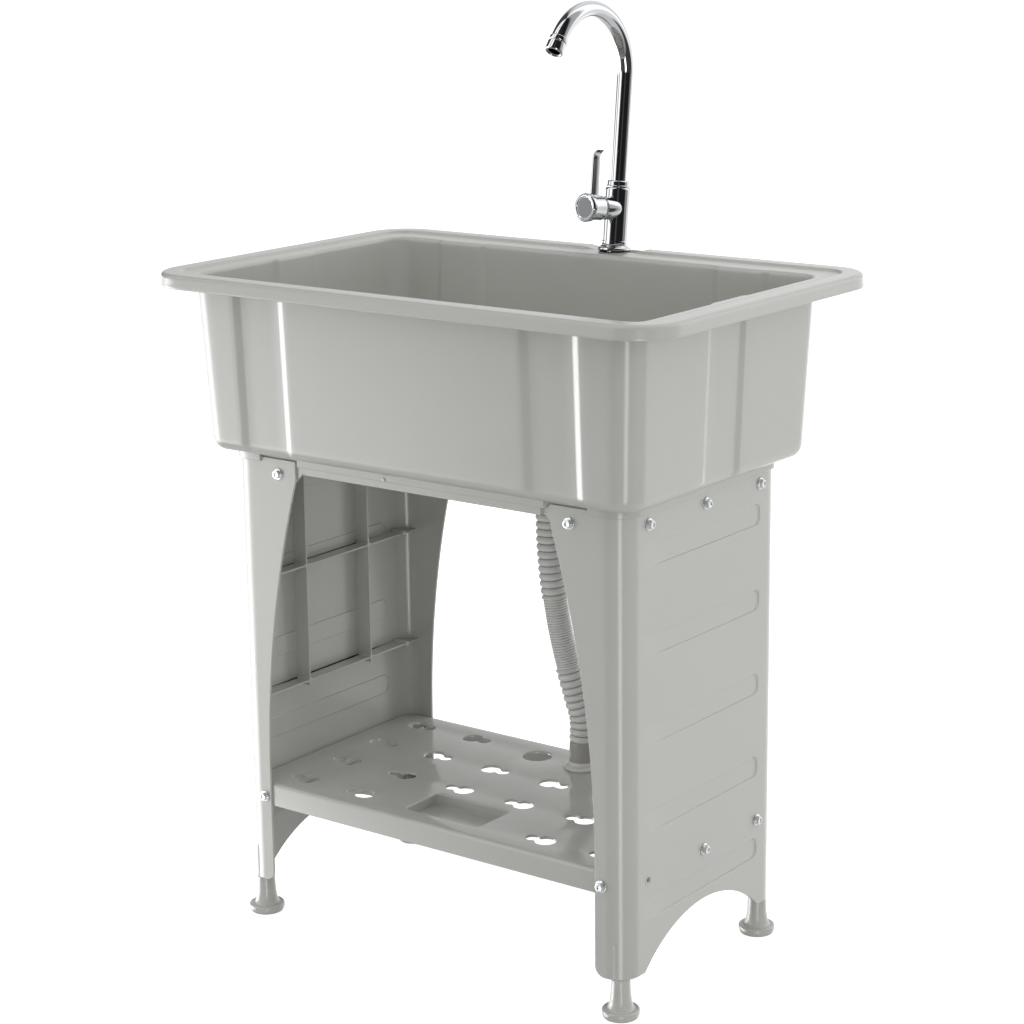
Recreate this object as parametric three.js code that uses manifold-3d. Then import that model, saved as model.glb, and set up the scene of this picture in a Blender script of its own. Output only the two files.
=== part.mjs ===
// A laundry sink: a moulded tub on two arched side panels with a shelf between them,
// a ribbed drain hose and a gooseneck tap with one lever.
// Millimetres, +Z up, the front towards -Y.
import * as THREE from 'three';
import { mergeVertices } from 'three/addons/utils/BufferGeometryUtils.js';
import Module from 'manifold-3d';

const wasm = await Module();
wasm.setup();

// ---- driving dimensions ----------------------------------------------------------------
const GAP = 0.3; // clearance between neighbouring pieces
const WIDE = 4; // how far a cutting tool reaches past what it cuts

const RIM_TOP = 785; // height of the rim above the floor
const RIM_HALF_LENGTH = 352;
const RIM_FRONT = -218;
const RIM_BACK = 247;
const RIM_CORNER = 55; // plan radius of the rim's outer corners
const RIM_SKIRT = 16; // depth of the turned-down edge
const RIM_ROUND = 5; // radius between the rim's top and its skirt
const RIM_BAND = 27; // width of the raised outer band
const RIM_STEP = 3; // drop from the band to the inner ledge

const TUB_WALL = 3;
const TUB_HALF_LENGTH = 308.5; // outer face of the tub under the rim
const TUB_FRONT = -187;
const TUB_BACK = 192;
const TUB_CORNER = 28;
const TUB_DRAFT = 0.0425; // inward lean of the walls per unit of height
const TUB_UNDERSIDE = 577; // height of the tub's floor, from below
const TUB_FILLET = 16; // outer radius between walls and floor
const LIP_ROUND = 5; // radius where the ledge turns down into the bowl
const FLOOR_FALL = 3; // fall of the floor towards the drain

const FLUTE_DEPTH = 3; // how far the moulded flutes are sunk into the walls
const FLUTE_EDGE = 11; // width of their sloping edges
const FRONT_FLUTE_NEAR = 174; // from the middle to the flat of a front or back flute
const FRONT_FLUTE_WIDTH = 55;
const SIDE_FLUTE_MIDDLE = -6.5;
const SIDE_FLUTE_WIDTH = 55;

const PANEL_HALF_SPAN = 277; // middle of the stand to a side panel's outer face
const PANEL_HALF_DEPTH = 156;
const PANEL_WALL = 3;
const PANEL_CORNER = 26;
const PANEL_DROP = 10.3; // from the tub's underside down to the panel's top edge
const PANEL_TOP = TUB_UNDERSIDE - PANEL_DROP;
const PANEL_BOTTOM = 46.5;
const LEG_WIDTH = 41; // width of a leg seen from the front
const LEG_ROUND = 12; // radius of a leg's lower inner corner
const TAB_RISE = 5.3; // how far the flanges' wide upper ends stand over the panel's top edge
const TAB_TOP = PANEL_TOP + TAB_RISE;
const TAB_INSET = 46; // from the side face to the outer end of such a tab
const TAB_WIDTH = 51;
const TAB_OUTER = PANEL_HALF_SPAN - TAB_INSET;
const TAB_INNER = TAB_OUTER - TAB_WIDTH;
const TAB_LENGTH = 22; // straight inner edge of a tab
const FLARE_HEIGHT = 370; // height over which the flange widens
const FLARE_HEAD = TAB_TOP - TAB_LENGTH;
const FLARE_FOOT = FLARE_HEAD - FLARE_HEIGHT;
const ARCH_HALF_WIDTH = 118; // arch between the legs, in the side face
const ARCH_HEIGHT = 47.8;
const ARCH_TOP = PANEL_BOTTOM + ARCH_HEIGHT;

const RIB_DEPTH = 20; // stiffening ribs inside the side panels
const RIB_WALL = 2.6;
const RIB_UPRIGHT = 58; // middle to an upright rib
const RIB_DROP = 150.7; // from the panel's top edge down to the upper level rib
const RIB_SPACING = 145;
const RIB_LEVELS = [PANEL_TOP - RIB_DROP, PANEL_TOP - RIB_DROP - RIB_SPACING];
const RIB_BOSS = 3.4; // radius of the ejector bosses on the ribs
const RIB_BOSS_SETBACK = 28; // from the back face to the boss at a level rib's end
const PAD_COUNT = 5; // sunk bands in the side face
const PAD_HIGH = 47.1; // from the panel's top edge down to the highest band
const PAD_LOW = 73.5; // from the panel's lower edge up to the lowest band
const PAD_LOWEST = PANEL_BOTTOM + PAD_LOW;
const PAD_PITCH = (PANEL_TOP - PAD_HIGH - PAD_LOWEST) / (PAD_COUNT - 1);
const PAD_HEIGHT = 25;
const PAD_FRONT = -118;
const PAD_BACK = 113;
const PAD_DEPTH = 1.6;

const PLINTH_DEPTH = 19; // from the tub's underside to the apron's edge between the flanges
const LUG_DEPTH = 36; // and to its edge behind the panels
const PLINTH_BOTTOM = TUB_UNDERSIDE - PLINTH_DEPTH;
const LUG_BOTTOM = TUB_UNDERSIDE - LUG_DEPTH;
const PLINTH_WALL = 3;
const FASCIA_INSET = 12; // from a tab to the part of the apron that stands flush with it
const FASCIA_HALF_LENGTH = TAB_INNER - FASCIA_INSET;
const DRIP_PROUD = 3.5; // drip lip beyond the panels
const DRIP_HEIGHT = 4.5;

const SHELF_TOP = 170;
const SHELF_DEPTH = 28;
const SHELF_WALL = 3;
const SHELF_ROUND = 5;
const TRAY_HALF_LENGTH = 53.5;
const TRAY_FRONT = -127;
const TRAY_BACK = -65;
const TRAY_DEPTH = 14;
const TRAY_CORNER = 7;
const SLOT_COLUMNS = 6; // pear-shaped drain slots
const SLOT_PITCH_X = 87.6;
const SLOT_ROWS = 4;
const SLOT_PITCH_Y = 77;
const SLOT_BIG = 11;
const SLOT_SMALL = 7;
const SLOT_SPREAD = 19; // between the centres of a slot's two lobes
const PIPE_X = 34; // the two round pipe holes of the shelf, left and right of the middle
const PIPE_Y = 108;
const PIPE_HOLE = 18.5;

const FOOT_INSET = 16; // from the side face to a foot's middle
const FOOT_SETBACK = 13.5; // from the front or back face to a foot's middle
const FOOT_X = PANEL_HALF_SPAN - FOOT_INSET;
const FOOT_Y = PANEL_HALF_DEPTH - FOOT_SETBACK;
const FOOT_DISC = 21.3;
const FOOT_STEM = 10.6;
const FOOT_STUD = 5; // threaded stud above the trumpet
const FOOT_STUD_LENGTH = 34;
const SOCKET_RADIUS = 9;
const SOCKET_HEIGHT = 40;

const BOLT_SHANK = 2.5;
const BOLT_WASHER = 6;
const BOLT_HEX = 4.6; // across corners, as a radius
const BOLT_LENGTH = 12;
const BOLT_DROP = 22.5; // from the tub's underside down to the upper bolts
const SHELF_BOLT_DROP = 16.5; // from the shelf's top down to the lower bolts
const BOLT_HIGH = TUB_UNDERSIDE - BOLT_DROP;
const BOLT_LOW = SHELF_TOP - SHELF_BOLT_DROP;
const SIDE_BOLT_SPREAD = 112;
const LEG_BOLT_INSET = 32; // from the side face to the lower front and back bolts
const TAB_BOLT_X = (TAB_INNER + TAB_OUTER) / 2;
const LEG_BOLT_X = PANEL_HALF_SPAN - LEG_BOLT_INSET;
const SPARE_HOLE = 'bolt_side_right_low_front'; // this place has its hole but no bolt

const DRAIN_Y = 90;
const DRAIN_BORE = 15;
const DRAIN_NECK = 19; // outside radius of the threaded waste
const DRAIN_FLANGE = 32;
const DRAIN_LENGTH = 46;
const NUT_HEIGHT = 12;

const HOSE_RADIUS = 16.5;
const HOSE_BORE = 12;
const COLLAR_LENGTH = 16; // from the waste's end down to the hose
const CUFF_LENGTH = 34; // from the shelf's top up to the hose
const HOSE_TOP = TUB_UNDERSIDE - DRAIN_LENGTH - COLLAR_LENGTH;
const HOSE_BOTTOM = SHELF_TOP + CUFF_LENGTH;
const RIB_PITCH_WIDE = 5.9;
const RIB_PITCH_FINE = 3.2;

const TAP_X = 2;
const TAP_SETBACK = 22.5; // from the rim's back edge to the tap's middle
const TAP_DROP = 3.2; // from the rim's top down to the seat's middle
const TAP_Y = RIM_BACK - TAP_SETBACK;
const TAP_SEAT = RIM_TOP - TAP_DROP;
const TAP_LEAN = THREE.MathUtils.degToRad(6.6);
const TAP_FLANGE = 20;
const TAP_BODY = 15.6;
const TAP_BODY_TOP = 76;
const TAP_COLLAR = 13.4;
const TAP_COLLAR_TOP = 84;
const SPOUT_RADIUS = 10;
const SPOUT_WALL = 1.4;
const SPOUT_SPRING = 206; // height where the gooseneck starts to bend
const SPOUT_BEND = 74;
const SPOUT_SWEEP = THREE.MathUtils.degToRad(150);
const AERATOR_RADIUS = 11;
const AERATOR_LENGTH = 19;
const VALVE_HEIGHT = 51; // valve axis above the seat
const VALVE_TURN = THREE.MathUtils.degToRad(8); // valve axis away from straight ahead
const VALVE_SLEEVE = 13.8;
const VALVE_REACH = 30; // middle of the body to the sleeve's face
const CAP_RADIUS = 17;
const CAP_DEPTH = 25;
const CAP_GAP = 2.5;
const SPINDLE = 5;
const LEVER_WIDTH = 12.5;
const LEVER_THICK = 4;
const LEVER_LENGTH = 56;
const SHANK_RADIUS = 10;
const SHANK_LENGTH = 48;
const SEAT_HALF_LENGTH = 34; // flat seat of the tap on the back rim
const SEAT_DEPTH = 7; // thickness of the rim there
const TAP_WASHER = 2.2;

// ---- colours ---------------------------------------------------------------------------
const plastic = () => new THREE.MeshStandardMaterial({ color: 0xbfc0ba, roughness: 0.42 });
const hosePlastic = () => new THREE.MeshStandardMaterial({ color: 0xb3b2ae, roughness: 0.5 });
const chrome = () => new THREE.MeshStandardMaterial({ color: 0xd8dadd, roughness: 0.08, metalness: 1 });
const zinc = () => new THREE.MeshStandardMaterial({ color: 0xc9cccd, roughness: 0.3, metalness: 1 });
const steel = () => new THREE.MeshStandardMaterial({ color: 0xb9bcbf, roughness: 0.28, metalness: 1 });
const brass = () => new THREE.MeshStandardMaterial({ color: 0xb9a15a, roughness: 0.35, metalness: 1 });
const rubber = () => new THREE.MeshStandardMaterial({ color: 0x2a2a2a, roughness: 0.8 });

// ---- solids ----------------------------------------------------------------------------
// A closed geometry as a solid: shared corners merged, empty triangles left out.
function solid(geometry) {
  const bare = geometry.clone();
  bare.deleteAttribute('normal');
  bare.deleteAttribute('uv');
  const merged = mergeVertices(bare, 1e-4);
  const index = merged.index.array;
  const kept = [];
  for (let i = 0; i < index.length; i += 3) {
    const [a, b, c] = [index[i], index[i + 1], index[i + 2]];
    if (a !== b && b !== c && c !== a) kept.push(a, b, c);
  }
  return new wasm.Manifold(new wasm.Mesh({
    numProp: 3,
    vertProperties: new Float32Array(merged.attributes.position.array),
    triVerts: new Uint32Array(kept),
  }));
}

function geometryOf(manifold) {
  const mesh = manifold.getMesh();
  const geometry = new THREE.BufferGeometry();
  geometry.setAttribute('position', new THREE.BufferAttribute(new Float32Array(mesh.vertProperties), 3));
  geometry.setIndex(new THREE.BufferAttribute(new Uint32Array(mesh.triVerts), 1));
  const flat = geometry.toNonIndexed();
  flat.computeVertexNormals();
  return flat;
}

const joined = (first, ...rest) => rest.reduce((sum, part) => sum.add(part), first);
const cutBy = (first, ...tools) => tools.reduce((left, tool) => left.subtract(tool), first);

function box(x0, x1, y0, y1, z0, z1) {
  const geometry = new THREE.BoxGeometry(x1 - x0, y1 - y0, z1 - z0);
  return solid(geometry.translate((x0 + x1) / 2, (y0 + y1) / 2, (z0 + z1) / 2));
}

// A round bar from one point along a direction.
function bar(radius, from, direction, length, sides = 16) {
  const geometry = new THREE.CylinderGeometry(radius, radius, length, sides);
  geometry.translate(0, length / 2, 0);
  const up = new THREE.Vector3(0, 1, 0);
  geometry.applyQuaternion(new THREE.Quaternion().setFromUnitVectors(up, direction.clone().normalize()));
  return solid(geometry.translate(from.x, from.y, from.z));
}

// A turned piece about Z from [radius, height] pairs, outside going up.
function turned(profile, sides) {
  const points = profile.map(([radius, height]) => new THREE.Vector2(radius, height));
  return new THREE.LatheGeometry(points, sides).rotateX(Math.PI / 2);
}

// A rounded rectangle in plan.
function plate(x0, x1, y0, y1, radius) {
  const shape = new THREE.Shape();
  shape.moveTo(x0 + radius, y0);
  shape.lineTo(x1 - radius, y0);
  shape.absarc(x1 - radius, y0 + radius, radius, -Math.PI / 2, 0);
  shape.lineTo(x1, y1 - radius);
  shape.absarc(x1 - radius, y1 - radius, radius, 0, Math.PI / 2);
  shape.lineTo(x0 + radius, y1);
  shape.absarc(x0 + radius, y1 - radius, radius, Math.PI / 2, Math.PI);
  shape.lineTo(x0, y0 + radius);
  shape.absarc(x0 + radius, y0 + radius, radius, Math.PI, Math.PI * 1.5);
  return shape;
}

// An outline in plan, raised from one height to another.
function raised(shape, z0, z1, curveSegments = 3) {
  const geometry = new THREE.ExtrudeGeometry(shape, { depth: z1 - z0, bevelEnabled: false, curveSegments });
  return solid(geometry.translate(0, 0, z0));
}

// Rings of equal point counts joined into a closed skin, first ring to last, ends capped to a point.
function loft(rings, startPoint, endPoint) {
  const count = rings[0].length;
  const positions = rings.flat(2).concat(startPoint, endPoint);
  const index = [];
  for (let k = 0; k + 1 < rings.length; k += 1) {
    for (let i = 0; i < count; i += 1) {
      const next = (i + 1) % count;
      const [a, b, c, d] = [k * count + i, k * count + next, (k + 1) * count + next, (k + 1) * count + i];
      index.push(a, b, c, a, c, d);
    }
  }
  const start = rings.length * count;
  const last = (rings.length - 1) * count;
  for (let i = 0; i < count; i += 1) {
    const next = (i + 1) % count;
    index.push(start, next, i);
    index.push(start + 1, last + i, last + next);
  }
  const geometry = new THREE.BufferGeometry();
  geometry.setAttribute('position', new THREE.Float32BufferAttribute(positions, 3));
  geometry.setIndex(index);
  return geometry;
}

// Rings joined into a tube with a bore: the last ring meets the first.
function closedTube(rings) {
  const sides = rings[0].length;
  const index = [];
  for (let k = 0; k < rings.length; k += 1) {
    const after = (k + 1) % rings.length;
    for (let i = 0; i < sides; i += 1) {
      const next = (i + 1) % sides;
      const [a, b, c, d] = [k * sides + i, k * sides + next, after * sides + next, after * sides + i];
      index.push(a, b, c, a, c, d);
    }
  }
  const geometry = new THREE.BufferGeometry();
  geometry.setAttribute('position', new THREE.Float32BufferAttribute(rings.flat(2), 3));
  geometry.setIndex(index);
  return geometry;
}

// ---- the tub ---------------------------------------------------------------------------
const CORNER_STEPS = 5;

// One level of the tub: a rounded rectangle whose sides are sunk at the flutes.
function tubRing(halfLength, front, back, corner, z, sunk) {
  const far = FRONT_FLUTE_NEAR + FRONT_FLUTE_WIDTH;
  const long = [];
  for (const [a, b] of [[-far, -FRONT_FLUTE_NEAR], [FRONT_FLUTE_NEAR, far]]) {
    long.push([a - FLUTE_EDGE, 0], [a, sunk], [b, sunk], [b + FLUTE_EDGE, 0]);
  }
  const [low, high] = [SIDE_FLUTE_MIDDLE - SIDE_FLUTE_WIDTH / 2, SIDE_FLUTE_MIDDLE + SIDE_FLUTE_WIDTH / 2];
  const short = [[low - FLUTE_EDGE, 0], [low, sunk], [high, sunk], [high + FLUTE_EDGE, 0]];
  const ring = [];
  const arc = (x, y, from) => {
    for (let k = 0; k <= CORNER_STEPS; k += 1) {
      const angle = from + (k / CORNER_STEPS) * (Math.PI / 2);
      ring.push([x + corner * Math.cos(angle), y + corner * Math.sin(angle), z]);
    }
  };
  for (const [x, inward] of long) ring.push([x, front + inward, z]);
  arc(halfLength - corner, front + corner, -Math.PI / 2);
  for (const [y, inward] of short) ring.push([halfLength - inward, y, z]);
  arc(halfLength - corner, back - corner, 0);
  for (const [x, inward] of [...long].reverse()) ring.push([x, back - inward, z]);
  arc(-halfLength + corner, back - corner, Math.PI / 2);
  for (const [y, inward] of [...short].reverse()) ring.push([inward - halfLength, y, z]);
  arc(-halfLength + corner, front + corner, Math.PI);
  return ring;
}

// A level of the wall, moved inward from the outer face by an inset.
function wallRing(z, inset, sunk) {
  const lean = (RIM_TOP - TUB_WALL - Math.max(z, TUB_UNDERSIDE + TUB_FILLET)) * TUB_DRAFT + inset;
  const corner = Math.max(TUB_CORNER - inset, 6);
  return tubRing(TUB_HALF_LENGTH - lean, TUB_FRONT + lean, TUB_BACK - lean, corner, z, sunk);
}

// A level of the rim, moved inward from its outer edge.
function rimRing(z, inset, corner) {
  return tubRing(RIM_HALF_LENGTH - inset, RIM_FRONT + inset, RIM_BACK - inset, corner, z, 0);
}

function tubShell() {
  const rings = [];
  const steps = 3;
  const quarter = (k) => (k / steps) * (Math.PI / 2);
  for (let k = 0; k <= steps; k += 1) {
    const [inset, drop] = [TUB_FILLET * (1 - Math.sin(quarter(k))), TUB_FILLET * (1 - Math.cos(quarter(k)))];
    rings.push(wallRing(TUB_UNDERSIDE + drop, inset, FLUTE_DEPTH * Math.sin(quarter(k))));
  }
  const under = RIM_TOP - TUB_WALL;
  const ledge = under - RIM_STEP;
  rings.push(wallRing(ledge - 4, 0, FLUTE_DEPTH));
  rings.push(wallRing(ledge, -4, FLUTE_DEPTH));
  rings.push(rimRing(ledge, RIM_BAND, RIM_CORNER - RIM_BAND));
  rings.push(rimRing(under, RIM_BAND - 2, RIM_CORNER - RIM_BAND + 2));
  rings.push(rimRing(under, TUB_WALL + 2, RIM_CORNER - TUB_WALL - 2));
  rings.push(rimRing(under - 2, TUB_WALL, RIM_CORNER - TUB_WALL));
  rings.push(rimRing(RIM_TOP - RIM_SKIRT, TUB_WALL - 1, RIM_CORNER - TUB_WALL));
  rings.push(rimRing(RIM_TOP - RIM_SKIRT, 0, RIM_CORNER));
  for (let k = 0; k <= 2; k += 1) {
    const angle = (k / 2) * (Math.PI / 2);
    const [inset, drop] = [1 + RIM_ROUND * (1 - Math.cos(angle)), RIM_ROUND * (1 - Math.sin(angle))];
    rings.push(rimRing(RIM_TOP - drop, inset, RIM_CORNER - inset));
  }
  rings.push(rimRing(RIM_TOP, RIM_BAND - 2, RIM_CORNER - RIM_BAND + 2));
  rings.push(rimRing(RIM_TOP - RIM_STEP, RIM_BAND, RIM_CORNER - RIM_BAND));
  for (let k = 0; k <= 2; k += 1) {
    const angle = (k / 2) * (Math.PI / 2);
    const [inset, drop] = [TUB_WALL - LIP_ROUND * (1 - Math.sin(angle)), LIP_ROUND * (1 - Math.cos(angle))];
    rings.push(wallRing(RIM_TOP - RIM_STEP - drop, inset, FLUTE_DEPTH));
  }
  const inner = TUB_FILLET - TUB_WALL;
  for (let k = 0; k <= steps; k += 1) {
    const [inset, drop] = [inner * (1 - Math.cos(quarter(k))), inner * (1 - Math.sin(quarter(k)))];
    const sunk = FLUTE_DEPTH * Math.cos(quarter(k));
    rings.push(wallRing(TUB_UNDERSIDE + TUB_WALL + drop, TUB_WALL + inset, sunk));
  }
  const floor = TUB_UNDERSIDE - FLOOR_FALL;
  return solid(loft(rings, [0, DRAIN_Y, floor], [0, DRAIN_Y, floor + TUB_WALL]));
}

// The apron below the floor: it stands inside the panels, with deeper lugs behind them for the bolts.
function apron() {
  const reachX = PANEL_HALF_SPAN - PANEL_WALL - GAP;
  const reachY = PANEL_HALF_DEPTH - PANEL_WALL - GAP;
  const corner = PANEL_CORNER - PANEL_WALL - GAP;
  const root = TUB_UNDERSIDE + 1;
  const outline = plate(-reachX, reachX, -reachY, reachY, corner);
  const w = PLINTH_WALL;
  outline.holes.push(plate(-reachX + w, reachX - w, -reachY + w, reachY - w, corner - w));
  const wall = raised(outline, LUG_BOTTOM, root);
  const notch = new THREE.Shape();
  const slant = PLINTH_BOTTOM - LUG_BOTTOM;
  notch.moveTo(-TAB_INNER - slant / 2, LUG_BOTTOM - 1);
  notch.lineTo(TAB_INNER + slant / 2, LUG_BOTTOM - 1);
  notch.lineTo(TAB_INNER - slant / 2, PLINTH_BOTTOM);
  notch.lineTo(-TAB_INNER + slant / 2, PLINTH_BOTTOM);
  const notchDepth = 2 * PANEL_HALF_DEPTH;
  const middle = new THREE.ExtrudeGeometry(notch, { depth: notchDepth, bevelEnabled: false });
  middle.rotateX(Math.PI / 2).translate(0, notchDepth / 2, 0);
  const fascias = [-1, 1].map((side) => {
    const [a, b] = [side * (reachY - w), side * PANEL_HALF_DEPTH];
    const half = FASCIA_HALF_LENGTH;
    return box(-half, half, Math.min(a, b), Math.max(a, b), PLINTH_BOTTOM, root);
  });
  const dripX = PANEL_HALF_SPAN + DRIP_PROUD;
  const dripY = PANEL_HALF_DEPTH + DRIP_PROUD;
  const drip = plate(-dripX, dripX, -dripY, dripY, PANEL_CORNER - DRIP_PROUD);
  drip.holes.push(plate(-reachX + 1, reachX - 1, -reachY + 1, reachY - 1, corner - 1));
  const dripBottom = PANEL_TOP + GAP;
  const tabGap = box(-TAB_OUTER - GAP, TAB_OUTER + GAP, -dripY - 1, dripY + 1, dripBottom - 1, root + 9);
  const lip = cutBy(raised(drip, dripBottom, dripBottom + DRIP_HEIGHT), tabGap);
  return joined(cutBy(wall, solid(middle)), ...fascias, lip);
}

// The tap's seat: a flat on the back rim that leans back with the tap.
function seatTools() {
  const y0 = TUB_BACK - TUB_WALL + LIP_ROUND;
  const length = RIM_BACK - RIM_ROUND / 2 - y0;
  const under = new THREE.BoxGeometry(2 * SEAT_HALF_LENGTH, length, SEAT_DEPTH);
  under.translate(0, y0 + length / 2 - TAP_Y, -SEAT_DEPTH / 2);
  const over = new THREE.BoxGeometry(2 * SEAT_HALF_LENGTH, length + 12, 8);
  over.translate(0, y0 + length / 2 - TAP_Y + 6, 4);
  const place = (geometry) => solid(geometry.rotateX(-TAP_LEAN).translate(TAP_X, TAP_Y, TAP_SEAT));
  return { under: place(under), over: place(over) };
}

// Every bolt's place: a name, the point on the panel's face, and the way the head looks.
function boltPlaces() {
  const places = [];
  for (const [side, x] of [['left', -1], ['right', 1]]) {
    const face = x * PANEL_HALF_SPAN;
    for (const [level, z] of [['top', BOLT_HIGH], ['low', BOLT_LOW]]) {
      for (const [row, y] of [['front', -1], ['middle', 0], ['back', 1]]) {
        places.push([`bolt_side_${side}_${level}_${row}`, [face, y * SIDE_BOLT_SPREAD, z], [x, 0, 0]]);
      }
      for (const [row, y] of [['front', -1], ['back', 1]]) {
        const along = x * (level === 'top' ? TAB_BOLT_X : LEG_BOLT_X);
        places.push([`bolt_${row}_${side}_${level}`, [along, y * PANEL_HALF_DEPTH, z], [0, y, 0]]);
      }
    }
  }
  return places.map(([name, point, way]) => ({
    name,
    point: new THREE.Vector3(...point),
    way: new THREE.Vector3(...way),
  }));
}

// The clearance holes of the bolts, through the panel and what stands behind it.
function boltHoles(keep) {
  return boltPlaces().filter(keep).map(({ point, way }) => {
    const start = point.clone().addScaledVector(way, 2);
    return bar((BOLT_SHANK + GAP) / Math.cos(Math.PI / 6), start, way.clone().negate(), BOLT_LENGTH, 6);
  });
}

function tub() {
  const { under, over } = seatTools();
  const down = new THREE.Vector3(0, 0, -1);
  const tapAxis = new THREE.Vector3(0, Math.sin(TAP_LEAN), Math.cos(TAP_LEAN));
  const seat = new THREE.Vector3(TAP_X, TAP_Y, TAP_SEAT).addScaledVector(tapAxis, WIDE);
  const drain = new THREE.Vector3(0, DRAIN_Y, TUB_UNDERSIDE + TUB_WALL + WIDE);
  const body = joined(tubShell(), apron(), under);
  const high = boltHoles(({ point }) => point.z === BOLT_HIGH);
  return cutBy(
    body,
    over,
    bar(SHANK_RADIUS + GAP, seat, tapAxis.negate(), SEAT_DEPTH + 2 * WIDE, 20),
    bar(DRAIN_NECK + GAP, drain, down, TUB_WALL + FLOOR_FALL + 2 * WIDE, 24),
    ...high,
  );
}

// ---- the side panels -------------------------------------------------------------------
// The front view of a panel: a leg that flares into a wide upper tab.
function flangeOutline() {
  const inner = PANEL_HALF_SPAN - LEG_WIDTH;
  const [rise, run] = [FLARE_HEIGHT, inner - TAB_INNER];
  const radius = (rise * rise + run * run) / (2 * run);
  const shape = new THREE.Shape();
  const outer = PANEL_HALF_SPAN + 1;
  const foot = LEG_ROUND;
  shape.moveTo(outer, PANEL_BOTTOM);
  shape.lineTo(outer, PANEL_TOP);
  shape.lineTo(TAB_OUTER, PANEL_TOP);
  shape.lineTo(TAB_OUTER, TAB_TOP);
  shape.lineTo(TAB_INNER, TAB_TOP);
  shape.lineTo(TAB_INNER, FLARE_HEAD);
  shape.absarc(inner - radius, FLARE_FOOT, radius, Math.asin(rise / radius), 0, true);
  shape.lineTo(inner, PANEL_BOTTOM + foot);
  shape.absarc(inner + foot, PANEL_BOTTOM + foot, foot, Math.PI, Math.PI * 1.5);
  return shape;
}

// One sunk band of the side face, seen from the side: square at the front, round at the back.
function padOutline(middle) {
  const half = PAD_HEIGHT / 2;
  const round = half - 2;
  const shape = new THREE.Shape();
  shape.moveTo(PAD_FRONT, middle - half);
  shape.lineTo(PAD_BACK - round, middle - half);
  shape.absarc(PAD_BACK - round, middle - half + round, round, -Math.PI / 2, 0);
  shape.absarc(PAD_BACK - round, middle + half - round, round, 0, Math.PI / 2);
  shape.lineTo(PAD_FRONT, middle + half);
  return shape;
}

// An outline seen from the side (Y to the right, Z up), pushed along X from one place to another.
function sideways(shape, x0, x1, curveSegments = 2) {
  const geometry = new THREE.ExtrudeGeometry(shape, { depth: x1 - x0, bevelEnabled: false, curveSegments });
  const turn = new THREE.Matrix4().makeBasis(
    new THREE.Vector3(0, 1, 0),
    new THREE.Vector3(0, 0, 1),
    new THREE.Vector3(1, 0, 0),
  );
  return geometry.applyMatrix4(turn).translate(x0, 0, 0);
}

// A band is deepest at its round back end and runs out towards the front.
function tapered(geometry, x, depth) {
  const place = geometry.attributes.position;
  for (let i = 0; i < place.count; i += 1) {
    if (place.getX(i) < x) {
      const share = (place.getY(i) - PAD_FRONT) / (PAD_BACK - PAD_FRONT);
      place.setX(i, x - depth * (0.25 + 0.75 * share));
    }
  }
  return solid(geometry);
}

function panel() {
  const [span, half, wall] = [PANEL_HALF_SPAN, PANEL_HALF_DEPTH, PANEL_WALL];
  const [z0, z1] = [PANEL_BOTTOM - 1, TAB_TOP + 1];
  const block = (inset, reach) => {
    const [x, y] = [span - inset, half - inset];
    return raised(plate(-x, x, -y, y, PANEL_CORNER - inset), z0 - reach, z1 + reach);
  };
  const settings = { depth: 2 * half + 2, bevelEnabled: false, curveSegments: 5 };
  const front = new THREE.ExtrudeGeometry(flangeOutline(), settings);
  front.rotateX(Math.PI / 2).translate(0, half + 1, 0);
  const channel = block(0, 0).subtract(block(wall, 1)).intersect(solid(front));
  const within = block(1, 0);

  const pads = [];
  for (let k = 0; k < PAD_COUNT; k += 1) pads.push(PAD_LOWEST + k * PAD_PITCH);
  const band = (z, face) => tapered(sideways(padOutline(z), face - 1, face + 1), face, PAD_DEPTH);
  const sunk = pads.map((z) => band(z, span));
  const backs = pads.map((z) => band(z, span - wall));

  const ribTop = LUG_BOTTOM - 3;
  const edge = span - wall - RIB_DEPTH;
  const thin = RIB_WALL / 2;
  const ribs = [-1, 1].map((side) => {
    const y = side * RIB_UPRIGHT;
    return box(edge, span, y - thin, y + thin, RIB_LEVELS[1], ribTop);
  });
  for (const z of RIB_LEVELS) {
    ribs.push(box(edge, span, -half, half, z - thin, z + thin));
    for (const y of [-RIB_UPRIGHT, RIB_UPRIGHT, half - RIB_BOSS_SETBACK]) {
      const start = new THREE.Vector3(edge - 1, y, z);
      ribs.push(bar(RIB_BOSS, start, new THREE.Vector3(1, 0, 0), RIB_DEPTH, 8));
    }
  }

  const radius = (ARCH_HALF_WIDTH ** 2 + (ARCH_TOP - PANEL_BOTTOM) ** 2) / (2 * (ARCH_TOP - PANEL_BOTTOM));
  const arch = new THREE.CylinderGeometry(radius, radius, 2 * (PANEL_CORNER + WIDE), 72);
  arch.rotateZ(Math.PI / 2).translate(span, 0, ARCH_TOP - radius);

  const sockets = [-1, 1].map((side) => footSocket(side));
  const body = joined(channel, joined(...backs, ...ribs).intersect(within));
  const cut = cutBy(body, ...sunk, solid(arch));
  const withFeet = joined(cut, ...sockets.map(({ post }) => post.intersect(within)));
  return cutBy(withFeet, ...sockets.map(({ bore }) => bore), ...boltHoles(({ point }) => point.x > 0));
}

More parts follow.
